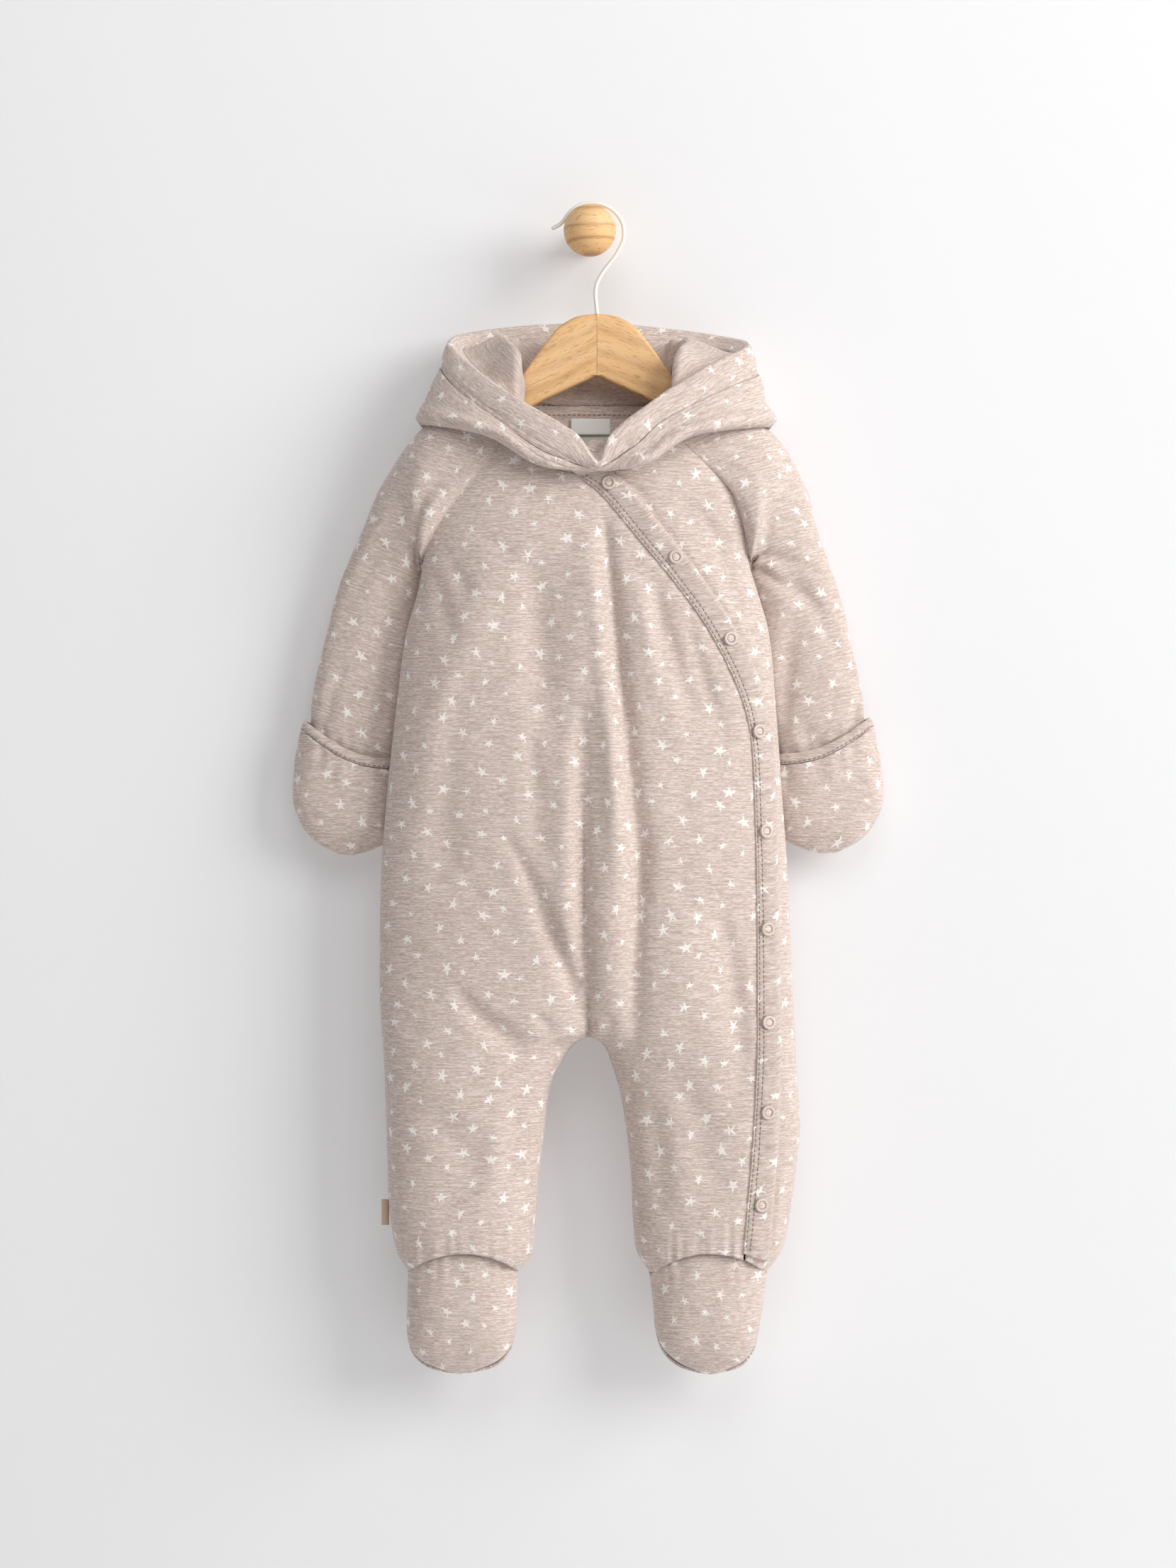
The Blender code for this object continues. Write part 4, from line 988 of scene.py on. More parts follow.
class Paint:
    """Builds one material's nodes."""

    def __init__(self, name):
        self.material = bpy.data.materials.new(name)
        self.material.use_nodes = True
        self.tree = self.material.node_tree
        self.shader = self.tree.nodes["Principled BSDF"]

    def feed(self, socket, value):
        """Links a value to a socket, or sets the socket to it."""
        if isinstance(value, Value):
            value = value.socket
        if isinstance(value, bpy.types.NodeSocket):
            self.tree.links.new(value, socket)
        else:
            socket.default_value = value

    def node(self, kind, settings=None, inputs=None):
        """A node of a kind: its settings first, then the values or links of its sockets."""
        made = self.tree.nodes.new(kind)
        for key, value in (settings or {}).items():
            setattr(made, key, value)
        for key, value in (inputs or {}).items():
            self.feed(made.inputs[key], value)
        return made

    def parts(self, vector):
        """The numbers of a vector."""
        split = self.node("ShaderNodeSeparateXYZ", {}, {0: vector})
        return [Value(self, socket) for socket in split.outputs]

    def mix(self, factor, a, b):
        """Mixes two colours by a factor."""
        a, b = (colour if isinstance(colour, bpy.types.NodeSocket) else (*colour, 1.0)
                for colour in (a, b))
        return self.node("ShaderNodeMix", {"data_type": "RGBA"}, {0: factor, 6: a, 7: b}).outputs[2]

    def vector(self, operation, *inputs):
        """A Vector Math node's result."""
        made = self.node("ShaderNodeVectorMath", {"operation": operation}, dict(enumerate(inputs)))
        return made.outputs[0]

    def place(self, scale, uv=True, turn=0.0):
        """Pattern coordinates: the cloth's own cut, or the object's, stretched by `scale`."""
        if uv:
            source = self.node("ShaderNodeUVMap", {"uv_map": "cut"}).outputs["UV"]
        else:
            source = self.node("ShaderNodeTexCoord").outputs["Object"]
        made = self.node("ShaderNodeMapping", {"vector_type": "POINT"},
                         {"Vector": source, "Scale": scale, "Rotation": (0.0, 0.0, turn)})
        return made.outputs["Vector"]

    def noise(self, where, scale, detail=3.0, rough=0.55):
        """A noise pattern's value."""
        made = self.node("ShaderNodeTexNoise", {"noise_dimensions": "3D"},
                         {"Vector": where, "Scale": scale, "Detail": detail, "Roughness": rough})
        return Value(self, made.outputs["Fac"])

    def bump(self, height, strength, distance):
        """Fine relief by a height."""
        made = self.node("ShaderNodeBump", {},
                         {"Height": height, "Strength": strength, "Distance": distance})
        self.set("Normal", made.outputs["Normal"])

    def set(self, name, value):
        """Feeds one of the shader's own sockets."""
        self.feed(self.shader.inputs[name], value)


STAR_POINTS = 5
STAR_WOBBLE = 0.0017   # metres by which a star's outline wanders
STAR_SCATTER = 0.48    # how far a star strays from its place, as a share of the pitch
STAR_TURN = 0.47       # turn of the stars' rows


def star_mask(paint, look):
    """One star in each random cell: cell centre, random turn and size, five uneven tapered arms.

    With t the angle from the nearest arm and a half the angle between arms, a straight edge from
    an arm's tip R to the notch r lies at radius R r sin a / (r sin a cos t + (R - r cos a) sin t).
    """
    where = paint.place((1.0, 1.0, 1.0), turn=STAR_TURN)
    wobble = paint.node("ShaderNodeTexNoise", {"noise_dimensions": "2D"},
                        {"Vector": where, "Scale": 520.0, "Detail": 1.0})
    offset = paint.vector("SUBTRACT", wobble.outputs["Color"], (0.5, 0.5, 0.5))
    bent = paint.vector("ADD", where, paint.vector("MULTIPLY", offset, (STAR_WOBBLE,) * 3))
    cells = paint.node("ShaderNodeTexVoronoi", {"voronoi_dimensions": "2D", "feature": "F1"},
                       {"Vector": bent, "Scale": 1 / look.star_pitch, "Randomness": STAR_SCATTER})
    dx, dy, _ = paint.parts(paint.vector("SUBTRACT", bent, cells.outputs["Position"]))
    chance = paint.node("ShaderNodeSeparateColor", {}, {0: cells.outputs["Color"]})
    red, green, blue = (Value(paint, socket) for socket in chance.outputs)
    radius = (dx * dx + dy * dy).sqrt()
    bearing = dy.angle_to(dx)
    uneven = 1 + ((bearing * 2 + blue * 20).sin()) * 0.17
    size = (0.62 + red * 0.62) * look.star_reach * uneven
    half = math.pi / STAR_POINTS
    turn = abs((bearing + green * (2 * math.pi)).wrap(-half, half))
    notch = 0.30 + blue * 0.10
    edge = (notch * math.sin(half)) / (
        notch * math.sin(half) * turn.cos() + (1 - notch * math.cos(half)) * turn.sin())
    return 1 - (radius / (edge * size)).smooth(0.84, 1.12)


def heather(paint, base, dark, pale, turn=0.0):
    """Space-dyed yarn: short streaks of darker and paler tone lying along the rows of knitting."""
    fine = paint.noise(paint.place((260.0, 1500.0, 1.0), turn=turn), 1.0, 4.0, 0.7)
    long = paint.noise(paint.place((70.0, 900.0, 1.0), turn=turn), 1.0, 3.0, 0.6)
    broad = paint.noise(paint.place((9.0, 14.0, 1.0)), 1.0, 2.0)
    toned = paint.mix((fine * 0.6 + long * 0.4).smooth(0.40, 0.60), dark, base)
    toned = paint.mix((fine * 0.45 + long * 0.55).smooth(0.53, 0.70) * 0.75, toned, pale)
    return paint.mix(broad.smooth(0.35, 0.7) * 0.10, toned, dark), fine, long


def jersey(name, look, stars=True, turn=0.0, shade=1.0):
    """Brushed heather jersey: streaked yarn, cream stars, fine knit relief and a soft nap."""
    paint = Paint(name)
    tones = (look.jersey, look.jersey_dark, look.jersey_pale)
    base, dark, pale = (shaded(tone, shade) for tone in tones)
    colour, fine, long = heather(paint, base, dark, pale, turn)
    relief = fine * 0.5 + long * 0.5
    if stars:
        worn = star_mask(paint, look) * (0.52 + (fine.smooth(0.30, 0.62) * 0.40))
        colour = paint.mix(worn, colour, look.star)
    paint.set("Base Color", colour)
    knit = paint.noise(paint.place((1400.0, 1900.0, 1.0), turn=turn), 1.0, 2.0)
    paint.set("Roughness", 0.88 + knit * 0.1)
    paint.set("Sheen Weight", 0.35)
    paint.set("Sheen Roughness", 0.45)
    paint.set("Specular IOR Level", 0.18)
    paint.bump(relief + knit * 0.6, 0.55, 0.00035)
    return paint.material


def plain_cloth(name, colour, dark, rib):
    """Plain knitted or woven cloth with fine ribs."""
    paint = Paint(name)
    tone = paint.noise(paint.place((300.0, rib, 1.0)), 1.0, 3.0, 0.6)
    paint.set("Base Color", paint.mix(tone.smooth(0.3, 0.7), dark, colour))
    paint.set("Roughness", 0.9 + tone * 0.06)
    paint.set("Sheen Weight", 0.3)
    paint.set("Specular IOR Level", 0.15)
    paint.bump(tone, 0.5, 0.0003)
    return paint.material


def wood(name, look, grain_turn, centre, rings, thin, dark_mix):
    """Pale wood: growth bands bent by slow noise, with short dark pores along the grain."""
    paint = Paint(name)
    source = paint.node("ShaderNodeTexCoord").outputs["Object"]
    moved = paint.vector("SUBTRACT", source, shaded(centre, MM))
    rotation = (0.0, math.radians(grain_turn), 0.0)
    turned = paint.node("ShaderNodeMapping", {"vector_type": "POINT"},
                        {"Vector": moved, "Rotation": rotation}).outputs["Vector"]
    slow = paint.noise(paint.vector("MULTIPLY", turned, (9.0, 16.0, 46.0)), 1.0, 2.0)
    across = paint.parts(turned)[2]
    bands = ((across * (rings * 2 * math.pi) + slow * 7.0).sin() * 0.5 + 0.5) ** thin
    pores = paint.noise(paint.vector("MULTIPLY", turned, (130.0, 600.0, 1500.0)), 1.0, 2.0, 0.6)
    fleck = pores.smooth(0.57, 0.67)
    colour = paint.mix(bands * dark_mix, look.wood, look.wood_dark)
    blotch = paint.noise(paint.vector("MULTIPLY", turned, (14.0, 30.0, 90.0)), 1.0, 2.0)
    colour = paint.mix(blotch.smooth(0.4, 0.75) * 0.35, colour, look.wood_pale)
    colour = paint.mix(fleck * 0.72, colour, look.wood_dark)
    paint.set("Base Color", colour)
    paint.set("Roughness", 0.46 + pores * 0.2)
    paint.set("Specular IOR Level", 0.35)
    paint.bump(pores.smooth(0.66, 0.50), 0.3, 0.0002)
    return paint.material


def hard(name, rough, level):
    """A hard finish: its paint, and the wandering noise that its roughness follows."""
    paint = Paint(name)
    wander = paint.noise(paint.place((1.0, 1.0, 1.0), uv=False), 320.0, 3.0)
    paint.set("Roughness", rough + (wander - 0.5) * 0.16)
    paint.set("Specular IOR Level", level)
    return paint, wander


def ring_snap(name, colour):
    """A painted ring: its colour by the radius, with painted shadow at its rim and round the cloth
    dome.
    """
    paint, _ = hard(name, 0.32, 0.5)
    radius = paint.parts(paint.place((1000.0, 1000.0, 1.0)))[0]
    # gap is painted shadow: a dark copy of the ring's colour where it meets the cloth, at its rim and
    # round the dome.
    gap = radius.smooth(*SNAP_RIM_SHADOW) + radius.smooth(*SNAP_INSIDE_SHADOW) * 0.9
    paint.set("Base Color", paint.mix(gap, shaded(colour, 1.42), shaded(colour, 0.30)))
    return paint.material


def wire_paint(name, colour):
    """Painted wire whose colour and roughness wander a little."""
    paint, wander = hard(name, 0.42, 0.3)
    paint.set("Base Color", paint.mix(wander * 0.35, colour, shaded(colour, 0.86)))
    paint.bump(wander, 0.12, 0.0001)
    return paint.material


def finish(name):
    """The named material, made the first time it is asked for."""
    found = bpy.data.materials.get(name)
    if found:
        return found
    look = bpy.context.scene.pramsuit_look
    middle = (HANGER_X, HANGER_Y)
    makers = {
        "jersey print": lambda: jersey(name, look),
        "jersey print left sleeve": lambda: jersey(name, look, turn=0.1),
        "jersey print placket": lambda: jersey(name, look, turn=math.pi / 2, shade=0.93),
        "jersey plain": lambda: jersey(name, look, stars=False, shade=0.94),
        # A paler copy of the plain jersey: painted light that lifts the neck facing out of its shade
        # and makes the snaps' cloth domes look lit.
        "jersey painted light": lambda: jersey(name, look, stars=False, shade=1.14),
        "lining": lambda: plain_cloth(name, look.lining, shaded(look.lining, 0.86), 900.0),
        # Topstitching: its own colour darkened with painted shade of the needle holes.
        "thread_and_hole_shade": lambda: plain_cloth(name, look.thread_and_hole_shade, shaded(look.thread_and_hole_shade, 0.75), 900.0),
        "label": lambda: plain_cloth(name, look.label, (0.84, 0.84, 0.82), 2600.0),
        "tab": lambda: plain_cloth(name, look.tab, (0.52, 0.39, 0.28), 1700.0),
        "snap": lambda: ring_snap(name, look.snap),
        "wire": lambda: wire_paint(name, look.wire),
        "wood left": lambda: wood(name, look, 25, (*middle, -60.0), 95.0, 1.9, 0.34),
        "wood right": lambda: wood(name, look, -20, (*middle, -75.0), 80.0, 1.9, 0.36),
        "wood peg": lambda: wood(name, look, 2, (0.0, BALL_Y, 6.5), 96.0, 9.0, 0.75),
    }
    return makers[name]()


# ---- cloth panels --------------------------------------------------------------------------
TORSO_ROWS = 175
LEG_ROWS = 72
TORSO_CROWD = 1.1      # power that crowds the rows towards a panel's top
LEG_EASE = 0.6         # power by which a leg's columns take up their own spacing
SIDE_COLUMNS = 34
BAND_ROWS = 420
BAND_COLUMNS = 26
BAND_THICK = 2.1
CUT_WIDTH = 344.0      # flat width of the wide front and of the back
CUT_ADDED = 30.0       # what their feet's curve adds to their height


def torso_heights(top_z):
    return top_z + (CROTCH_Z - top_z) * np.linspace(0.0, 1.0, TORSO_ROWS) ** TORSO_CROWD


def two_leg_panel(name, edges, top_z, cols, surface, warp, flip):
    """A panel with two legs: torso rows across both halves, then one grid down each leg."""
    leg = np.linspace(CROTCH_Z, FOOT_Z, LEG_ROWS)
    left_u = near_start(cols)[None]
    right_u = 1 - left_u[:, ::-1]
    halves = [settle(pair, u, torso_heights(top_z), top_z, warp)
              for pair, u in (((edges[0], centre_edge), left_u), ((centre_edge, edges[1]), right_u))]
    x, z = (np.concatenate([left, right[:, 1:]], 1) for left, right in zip(*halves))
    torso_grid = np.stack([x, surface(x, z), z], -1)
    points = [torso_grid.reshape(-1, 3)]
    flat = [wrap_uv(torso_grid, cols - 1).reshape(-1, 2)]
    top_index = grid_index(torso_grid)
    faces = [quads(top_index)]
    base = x.size
    blend = np.linspace(0.0, 1.0, LEG_ROWS)[:, None] ** LEG_EASE
    for side, near_u in ((1, left_u), (2, right_u)):
        fractions = near_u * (1 - blend) + near_ends(cols)[None] * blend
        inseam = lambda h, i=side: down(INSEAMS, i, h)
        pair = (edges[0], inseam) if side == 1 else (inseam, edges[1])
        x, z = settle(pair, fractions, leg, top_z, warp)
        leg_grid = np.stack([x, surface(x, z), z], -1)[1:]
        points.append(leg_grid.reshape(-1, 3))
        flat.append(wrap_uv(leg_grid, -1 if side == 1 else 0).reshape(-1, 2))
        joint = top_index[-1, :cols] if side == 1 else top_index[-1, -cols:]
        faces.append(quads(np.concatenate([joint[None], base + grid_index(leg_grid)])))
        base += leg_grid.size // 3
    points, faces = np.concatenate(points), np.concatenate(faces)
    if flip:
        faces = faces[:, ::-1]
    piece = make_mesh(name, points, faces, "jersey print", np.concatenate(flat), WALL)
    fit(piece, name)
    cloth(points, faces, (CUT_WIDTH, abs(FOOT_Z - top_z) + CUT_ADDED))


def build_front():
    """Wide front panel and the narrow side panel under the wrap."""
    top_z = min(column(NECKLINE, 1))
    sides = (lambda z: side_x(1, z), band_seam(0.6))
    two_leg_panel("front_main", sides, top_z, 62, front_y, front_warp, False)
    heights = np.concatenate([torso_heights(top_z), np.linspace(CROTCH_Z, FOOT_Z, LEG_ROWS)[1:]])
    fractions = 1 - near_start(SIDE_COLUMNS)[::-1][None]
    x, z = settle((band_seam(2.4), lambda h: side_x(2, h)), fractions, heights, top_z, front_warp)
    grid = np.stack([x, front_y(x, z) + 0.4, z], -1)
    cloth_piece("front_side", grid, "jersey print", wrap_uv(grid, 0) + [40.0, 7.0], WALL)


def build_back():
    """The back, one panel with both leg backs."""
    edges = (lambda z: side_x(1, z), lambda z: side_x(2, z))
    two_leg_panel("back", edges, BACK_NECK_Z, 56, back_y, straight_rows, True)


def band_rows(at, across):
    """Points down the placket for each share across it."""
    rows = along(BAND, at)
    x = rows[:, 0, None] + (rows[:, 2] - rows[:, 0])[:, None] * across[None]
    z = rows[:, 1, None] + (rows[:, 3] - rows[:, 1])[:, None] * across[None]
    return x, z


def band_height(across):
    """The placket above the front: a lip at its seam, fuller to its free edge, grooved at
    the stitches."""
    rim = 1 - bell(1 - across, 0.07)
    groove = sum(0.3 * bell((across - share) * 15, 1) for share in BAND_STITCHES)
    lip = 0.55 * bell(across - 0.05, 0.035) - 0.75 * bell(across, 0.025)
    return (0.9 + 2.3 * across) * (0.6 + 0.4 * rim) - groove + lip


def band_lumps(x, z):
    """The placket's unevenness, with small puckers down its length."""
    return 0.35 * ripple(x, z, 21.0, 8.0) + 0.2 * np.sin(z * 0.8 + 1.1 * np.sin(z * 0.13))


def over_the_hood(first, across):
    """The placket's top end: rows that climb from its first row on to the hood's front roll."""
    seam_x, seam_z, edge_x, edge_z = BAND_TOP
    end = np.stack([seam_x + (edge_x - seam_x) * across, np.full(len(across), BAND_TOP_Y),
                    seam_z + (edge_z - seam_z) * across], -1)
    t = np.linspace(0.0, 1.0, BAND_TOP_ROWS, endpoint=False)[:, None]
    rows = end + (first - end) * t[:, None]
    rows[..., 1] = end[:, 1] + (first[:, 1] - end[:, 1]) * (1 - (1 - t) ** 1.5)
    rows[..., 1] += (0.9 * bell(across, 0.08) + 0.7 * bell(1 - across, 0.08))[None] * (1 - t)
    return rows


def build_placket():
    """The wrap's band: a soft roll from its seam to its free edge, dimpled round each snap."""
    across = near_ends(BAND_COLUMNS, 0.6)
    x, z = band_rows(np.linspace(0.0, 1.0, BAND_ROWS), across)
    near = np.hypot(x[..., None] - column(SNAPS, 0), z[..., None] - column(SNAPS, 1))
    dimple = 0.5 * bell(near, 7.5).sum(-1)
    grid, _ = lifted(x, z, band_height(across)[None] + band_lumps(x, z) - dimple)
    grid = np.concatenate([over_the_hood(grid[0], across), grid])
    uv = np.stack([np.tile(across * 15.0 + 300.0, (len(grid), 1)), -arc_length(grid, 0)], -1)
    cloth_piece("placket_band", grid, "jersey print placket", uv, BAND_THICK)


def build_placket_stitches():
    """Two rows of topstitching beside the placket's seam."""
    rows = []
    for share in BAND_STITCHES:
        x, z = (side[:, 0] for side in band_rows(np.linspace(0.004, 0.996, 400), np.array([share])))
        rows.append(stitch_row(*lifted(x, z, band_height(share) + 0.12 + band_lumps(x, z))))
    stitches("placket_stitches", rows)


SNAP_RING = [
    # radius, height
    (2.65, 0.10),
    (2.75, 0.95),
    (3.20, 1.45),
    (4.25, 1.45),
    (4.75, 0.85),
    (4.80, -0.70),
]
SNAP_RIM_SHADOW = (4.10, 4.45)      # radii between which painted shadow darkens the ring towards its rim
SNAP_INSIDE_SHADOW = (3.30, 2.95)   # and painted shadow towards the cloth dome
SNAP_DOME = 2.5


def build_snaps():
    """Open-ring snaps: a rounded ring round a small cloth dome."""
    ring = np.concatenate([[[0.0, SNAP_RING[-1][1]]], rounded(SNAP_RING, 0.4)[::-1], [[0.0, 0.2]]])
    puff = np.linspace(0, math.pi / 2, 8)
    cap = np.stack([SNAP_DOME * np.cos(puff), 0.35 + 0.85 * np.sin(puff)], -1)
    dome = np.concatenate([[[0.0, 0.0], [SNAP_DOME, 0.0]], cap])
    for number, (x, z) in enumerate(SNAPS, 1):
        place, out = lifted(np.array(x), np.array(z), SNAP_SEAT)
        spin = np.array(Vector((0, 0, 1)).rotation_difference(Vector(out)).to_matrix())
        grid = lathe(ring, 40) @ spin.T + place
        # The ring's radius as its uv, from which its material paints the shadow at the ring's rim and
        # inner edge.
        uv = np.repeat(ring[:, None, :1] * [1.0, 0.0], grid.shape[1], 1)
        piece = grid_piece("snap_%d" % number, grid, "snap", uv, ring=True, flip=True)[0]
        fit(piece, "snap_%d" % number)
        grid = lathe(dome, 28) @ spin.T + place
        # The cloth dome takes the paler jersey copy: painted light.
        piece = grid_piece("snap_centre_%d" % number, grid, "jersey painted light", grid[..., [0, 2]] + 100.0,
                           ring=True, flip=True)[0]
        fit(piece, None)


# ---- sleeves and mitts ---------------------------------------------------------------------
LOOP_ROUND = 2.3       # exponent of a flattened sleeve's or mitt's section
SLEEVE_GRID = (140, 112)   # rows, columns
SLEEVE_SHIFT = 500.0   # the pattern's own place on each sleeve and mitt
MITT_SHIFT = {"left": 1300.0, "right": 1700.0}
RAGLAN_TOP_Z = -142.5
HEM_ROWS = 14
HEM_STITCHED = 11      # the hem's row that carries its stitches
MITT_GRID = (64, 96)
MITT_START = 0.004


def outward(side):
    """Which way the rings of a side's sleeve and mitt face."""
    return 1.0 if side == "left" else -1.0


def rounded_turn(turn, power):
    """Cosine and sine of a turn, pressed towards a superellipse's."""
    return [np.sign(f(turn)) * np.abs(f(turn)) ** (2 / power) for f in (np.cos, np.sin)]


def flat_loop(outer_x, outer_z, inner_x, inner_z, middle_y, half_depth, steps):
    """A flattened ring between two edge points, starting at the outer one."""
    c, s = rounded_turn(ring_angles(steps), LOOP_ROUND)
    outer, inner = np.array([outer_x, outer_z]), np.array([inner_x, inner_z])
    middle, reach = (outer + inner) / 2, (outer - inner) / 2
    return np.stack([middle[0] + reach[0] * c, middle_y - half_depth * s, middle[1] + reach[1] * c], -1)


def raglan_loop(side, steps):
    """Where a sleeve starts: over the shoulder, down the front seam and up the back seam."""
    index = 1 if side == "left" else 2
    front_z = np.linspace(RAGLAN_TOP_Z, ARMPIT_Z, 40)
    back_z = np.linspace(ARMPIT_Z, BACK_NECK_Z, 40)[1:]
    front_x, back_x = (down(RAGLAN, index, z) + outward(side) for z in (front_z, back_z))
    front = np.stack([front_x, front_y(front_x, front_z, 0.5) + 1.0, front_z], -1)
    back = np.stack([back_x, back_y(back_x, back_z) - 1.0, back_z], -1)
    top = np.array(SHOULDER[side])
    t = np.linspace(0, 1, 12)[1:-1, None]
    rise = top * (1 - t) + front[0] * t + np.array([0, -8.0, 3.2]) * np.sin(math.pi * t)
    fall = back[-1] * (1 - t) + top * t + np.array([0, 3.0, 0.6]) * np.sin(math.pi * t)
    ring = closed(np.concatenate([top[None], rise, front, back, fall]))
    length = running_length(ring)
    armpit = len(rise) + len(front)
    half = steps // 2 + 1
    at = np.concatenate([np.linspace(0.0, length[armpit], half)[:-1],
                         np.linspace(length[armpit], length[-1], half)[:-1]])
    return read_path(ring, length, at)


def grid_normals(grid):
    """Unit normals of a ring grid from its central differences."""
    normal = np.cross(np.gradient(grid, axis=0), np.roll(grid, -1, 1) - np.roll(grid, 1, 1))
    return normal / np.maximum(np.linalg.norm(normal, axis=-1, keepdims=True), 1e-9)


def ring_creases(table, u, v):
    """Creases on a ring grid: an upright bell that leans round as it goes down."""
    total = np.zeros(u.shape)
    for place, level, lean, wide, tall, depth in table:
        drop = v - level
        off = np.mod(u - place - lean * drop + 0.5, 1.0) - 0.5
        total += depth * np.exp(-((off / wide) ** 2) - (drop / tall) ** 2)
    return total


def press(grid, amount, way):
    """Moves a ring grid in along its normals by `amount`."""
    return grid - grid_normals(grid) * way * amount[..., None]


def mitt_sag(points, side, share):
    """The mitt's mouth hangs lower towards the body, and lower still across its front."""
    outer, inner = MITTS[side][0][0], MITTS[side][0][2]
    s = np.clip((points[..., 0] - outer) / (inner - outer), 0.0, 1.0)
    front = 0.5 - 0.5 * np.clip((points[..., 1] - MITT_Y) / 9.0, -1.0, 1.0)
    sunk = points.copy()
    sunk[..., 2] -= share * (MITT_TILT * s + MITT_SAG * np.sin(math.pi * s) ** 1.1 * front)
    return sunk


def build_sleeve(side):
    """Raglan sleeve: flattened rings from the seam to the cuff, creased and gathered."""
    rows, steps = SLEEVE_GRID
    loops = [raglan_loop(side, steps)] + [flat_loop(*row, steps) for row in SLEEVES[side]]
    u, v = shares(rows, steps)
    grid = mitt_sag(rows_between(loops, rows), side, np.clip((v - 0.72) / 0.28, 0.0, 1.0) ** 2)
    girth = arc_length(grid, 1)[:, -1:]
    fade = np.clip(v * 7, 0, 1) * np.clip((1 - v) * 9, 0, 1)
    soft = ring_creases(SLEEVE_CREASES[side], u, v) * fade
    soft += fade * two_ripples(u * girth, v * 240, (0.9, 48.0, 2.0), (0.35, 19.0, 3.0))
    cuff = np.clip((v - 0.86) / 0.1, 0, 1) * np.clip((1 - v) * 14, 0, 1)
    soft += cuff * 0.8 * np.sin(u * 2 * math.pi * 17 + 2 * np.sin(u * 25))
    grid = press(grid, soft, outward(side))
    ends = np.array([(loop[:, 0].mean(), loop[:, 2].mean()) for loop in (loops[1], loops[-1])])
    way = (ends[0] - ends[1]) / np.linalg.norm(ends[0] - ends[1])
    across = (outward(side) * way[1], -outward(side) * way[0])
    uv = wrap_uv(grid, 0, across, way) + [outward(side) * SLEEVE_SHIFT, 0.0]
    look = "jersey print left sleeve" if side == "left" else "jersey print"
    cloth_piece("sleeve_" + side, grid, look, uv, WALL, ring=True, flip=side == "right")


def build_mitt(side):
    """Fold-over mitt: a pouch closed at its tip and a turned hem with a stitched line."""
    rows, steps = MITT_GRID
    way, across = outward(side), (outward(side), 0.0)
    faced = {"ring": True, "flip": side == "right"}
    loops = [flat_loop(*row[:4], MITT_Y, row[4], steps) for row in MITTS[side]]
    u, v = shares(HEM_ROWS, steps)
    hem = mitt_sag(rows_between(loops[:2], HEM_ROWS), side, 1.0)
    gathers = 0.35 * np.sin(u * 2 * math.pi * 13 + np.sin(u * 40))
    hem = press(hem, gathers - 0.9 * np.sin(math.pi * v), way)
    cloth_piece("mitt_hem_" + side, hem, "jersey plain",
                wrap_uv(hem, 0, across) + [MITT_SHIFT[side], 40.0], 1.2, **faced)
    middle = np.mean(loops[-1], 0)
    tip = middle[None] + (loops[-1] - middle) * 0.04 - [0, 0, 0.8]
    u, v = shares(rows, steps)
    pouch = mitt_sag(rows_between(loops[1:] + [tip], rows, MITT_START), side,
                     np.cos(np.clip(v / 0.85, 0.0, 1.0) * math.pi / 2) ** 2)
    fade = np.clip((1 - v) * 5, 0, 1)
    gathers = bell(v, 0.16) * 0.7 * np.sin(u * 2 * math.pi * 15 + 2 * np.sin(u * 30))
    soft = gathers + fade * two_ripples(u * 150, v * 80, (0.9, 34.0, 6.0), (0.4, 14.0, 7.0))
    pouch = press(pouch, soft * fade, way)
    cloth_piece("mitt_" + side, pouch, "jersey print",
                wrap_uv(pouch, 0, across) + [MITT_SHIFT[side], 0.0], 1.4, **faced)
    out = closed(grid_normals(hem)[HEM_STITCHED] * way)
    stitches("mitt_stitches_" + side, [stitch_row(closed(hem[HEM_STITCHED]) + 0.15 * out, out)])


# ---- feet ----------------------------------------------------------------------------------
FOOT_GRID = (60, 72)   # rows, columns
FOOT_PARTS = [
    # name, its side of the middle, fullness, the pattern's own place
    ("foot_upper_", -1.0, 1.0, 2100.0), ("foot_sole_", 1.0, 0.9, 2500.0),
]


def build_foot(side):
    """Foot: the upper is the front half below its arched seam, the sole the back half."""
    rows, cols = FOOT_GRID
    outline = along(FEET[side], np.linspace(0.0, 1.0, rows))
    outer, inner, level, depth = (outline[:, i:i + 1] for i in range(4))
    c, s = rounded_turn(np.linspace(0.0, math.pi, cols), ROUND)
    x = (outer + inner) / 2 + (outer - inner) / 2 * c[None]
    v = np.linspace(0, 1, rows)[:, None]
    u = np.linspace(0, 1, cols)[None]
    gathers = bell(v, 0.12) * 0.55 * np.sin(u * 54 + 2 * np.sin(u * 17))
    for part, way, full, shift in FOOT_PARTS:
        z = np.repeat(level, cols, 1)
        if way < 0:
            z = z + (1 - v) ** 1.2 * arch(x, np.full_like(x, FOOT_Z))
        soft = np.sin(math.pi * np.clip(v * 1.1, 0, 1))
        soft = soft * two_ripples(x, z, (0.8, 30.0, 9.0), (0.3, 12.0, 2.0))
        swell = depth * s[None] * full - (soft + gathers) * s[None]
        grid = np.stack([x, FOOT_Y + way * (0.4 + np.maximum(swell, 0.0)), z], -1)
        uv = np.stack([x * 1.15 + shift, z * 1.05], -1)
        cloth_piece(part + side, grid, "jersey print", uv, WALL, flip=(side == "left") == (way < 0))


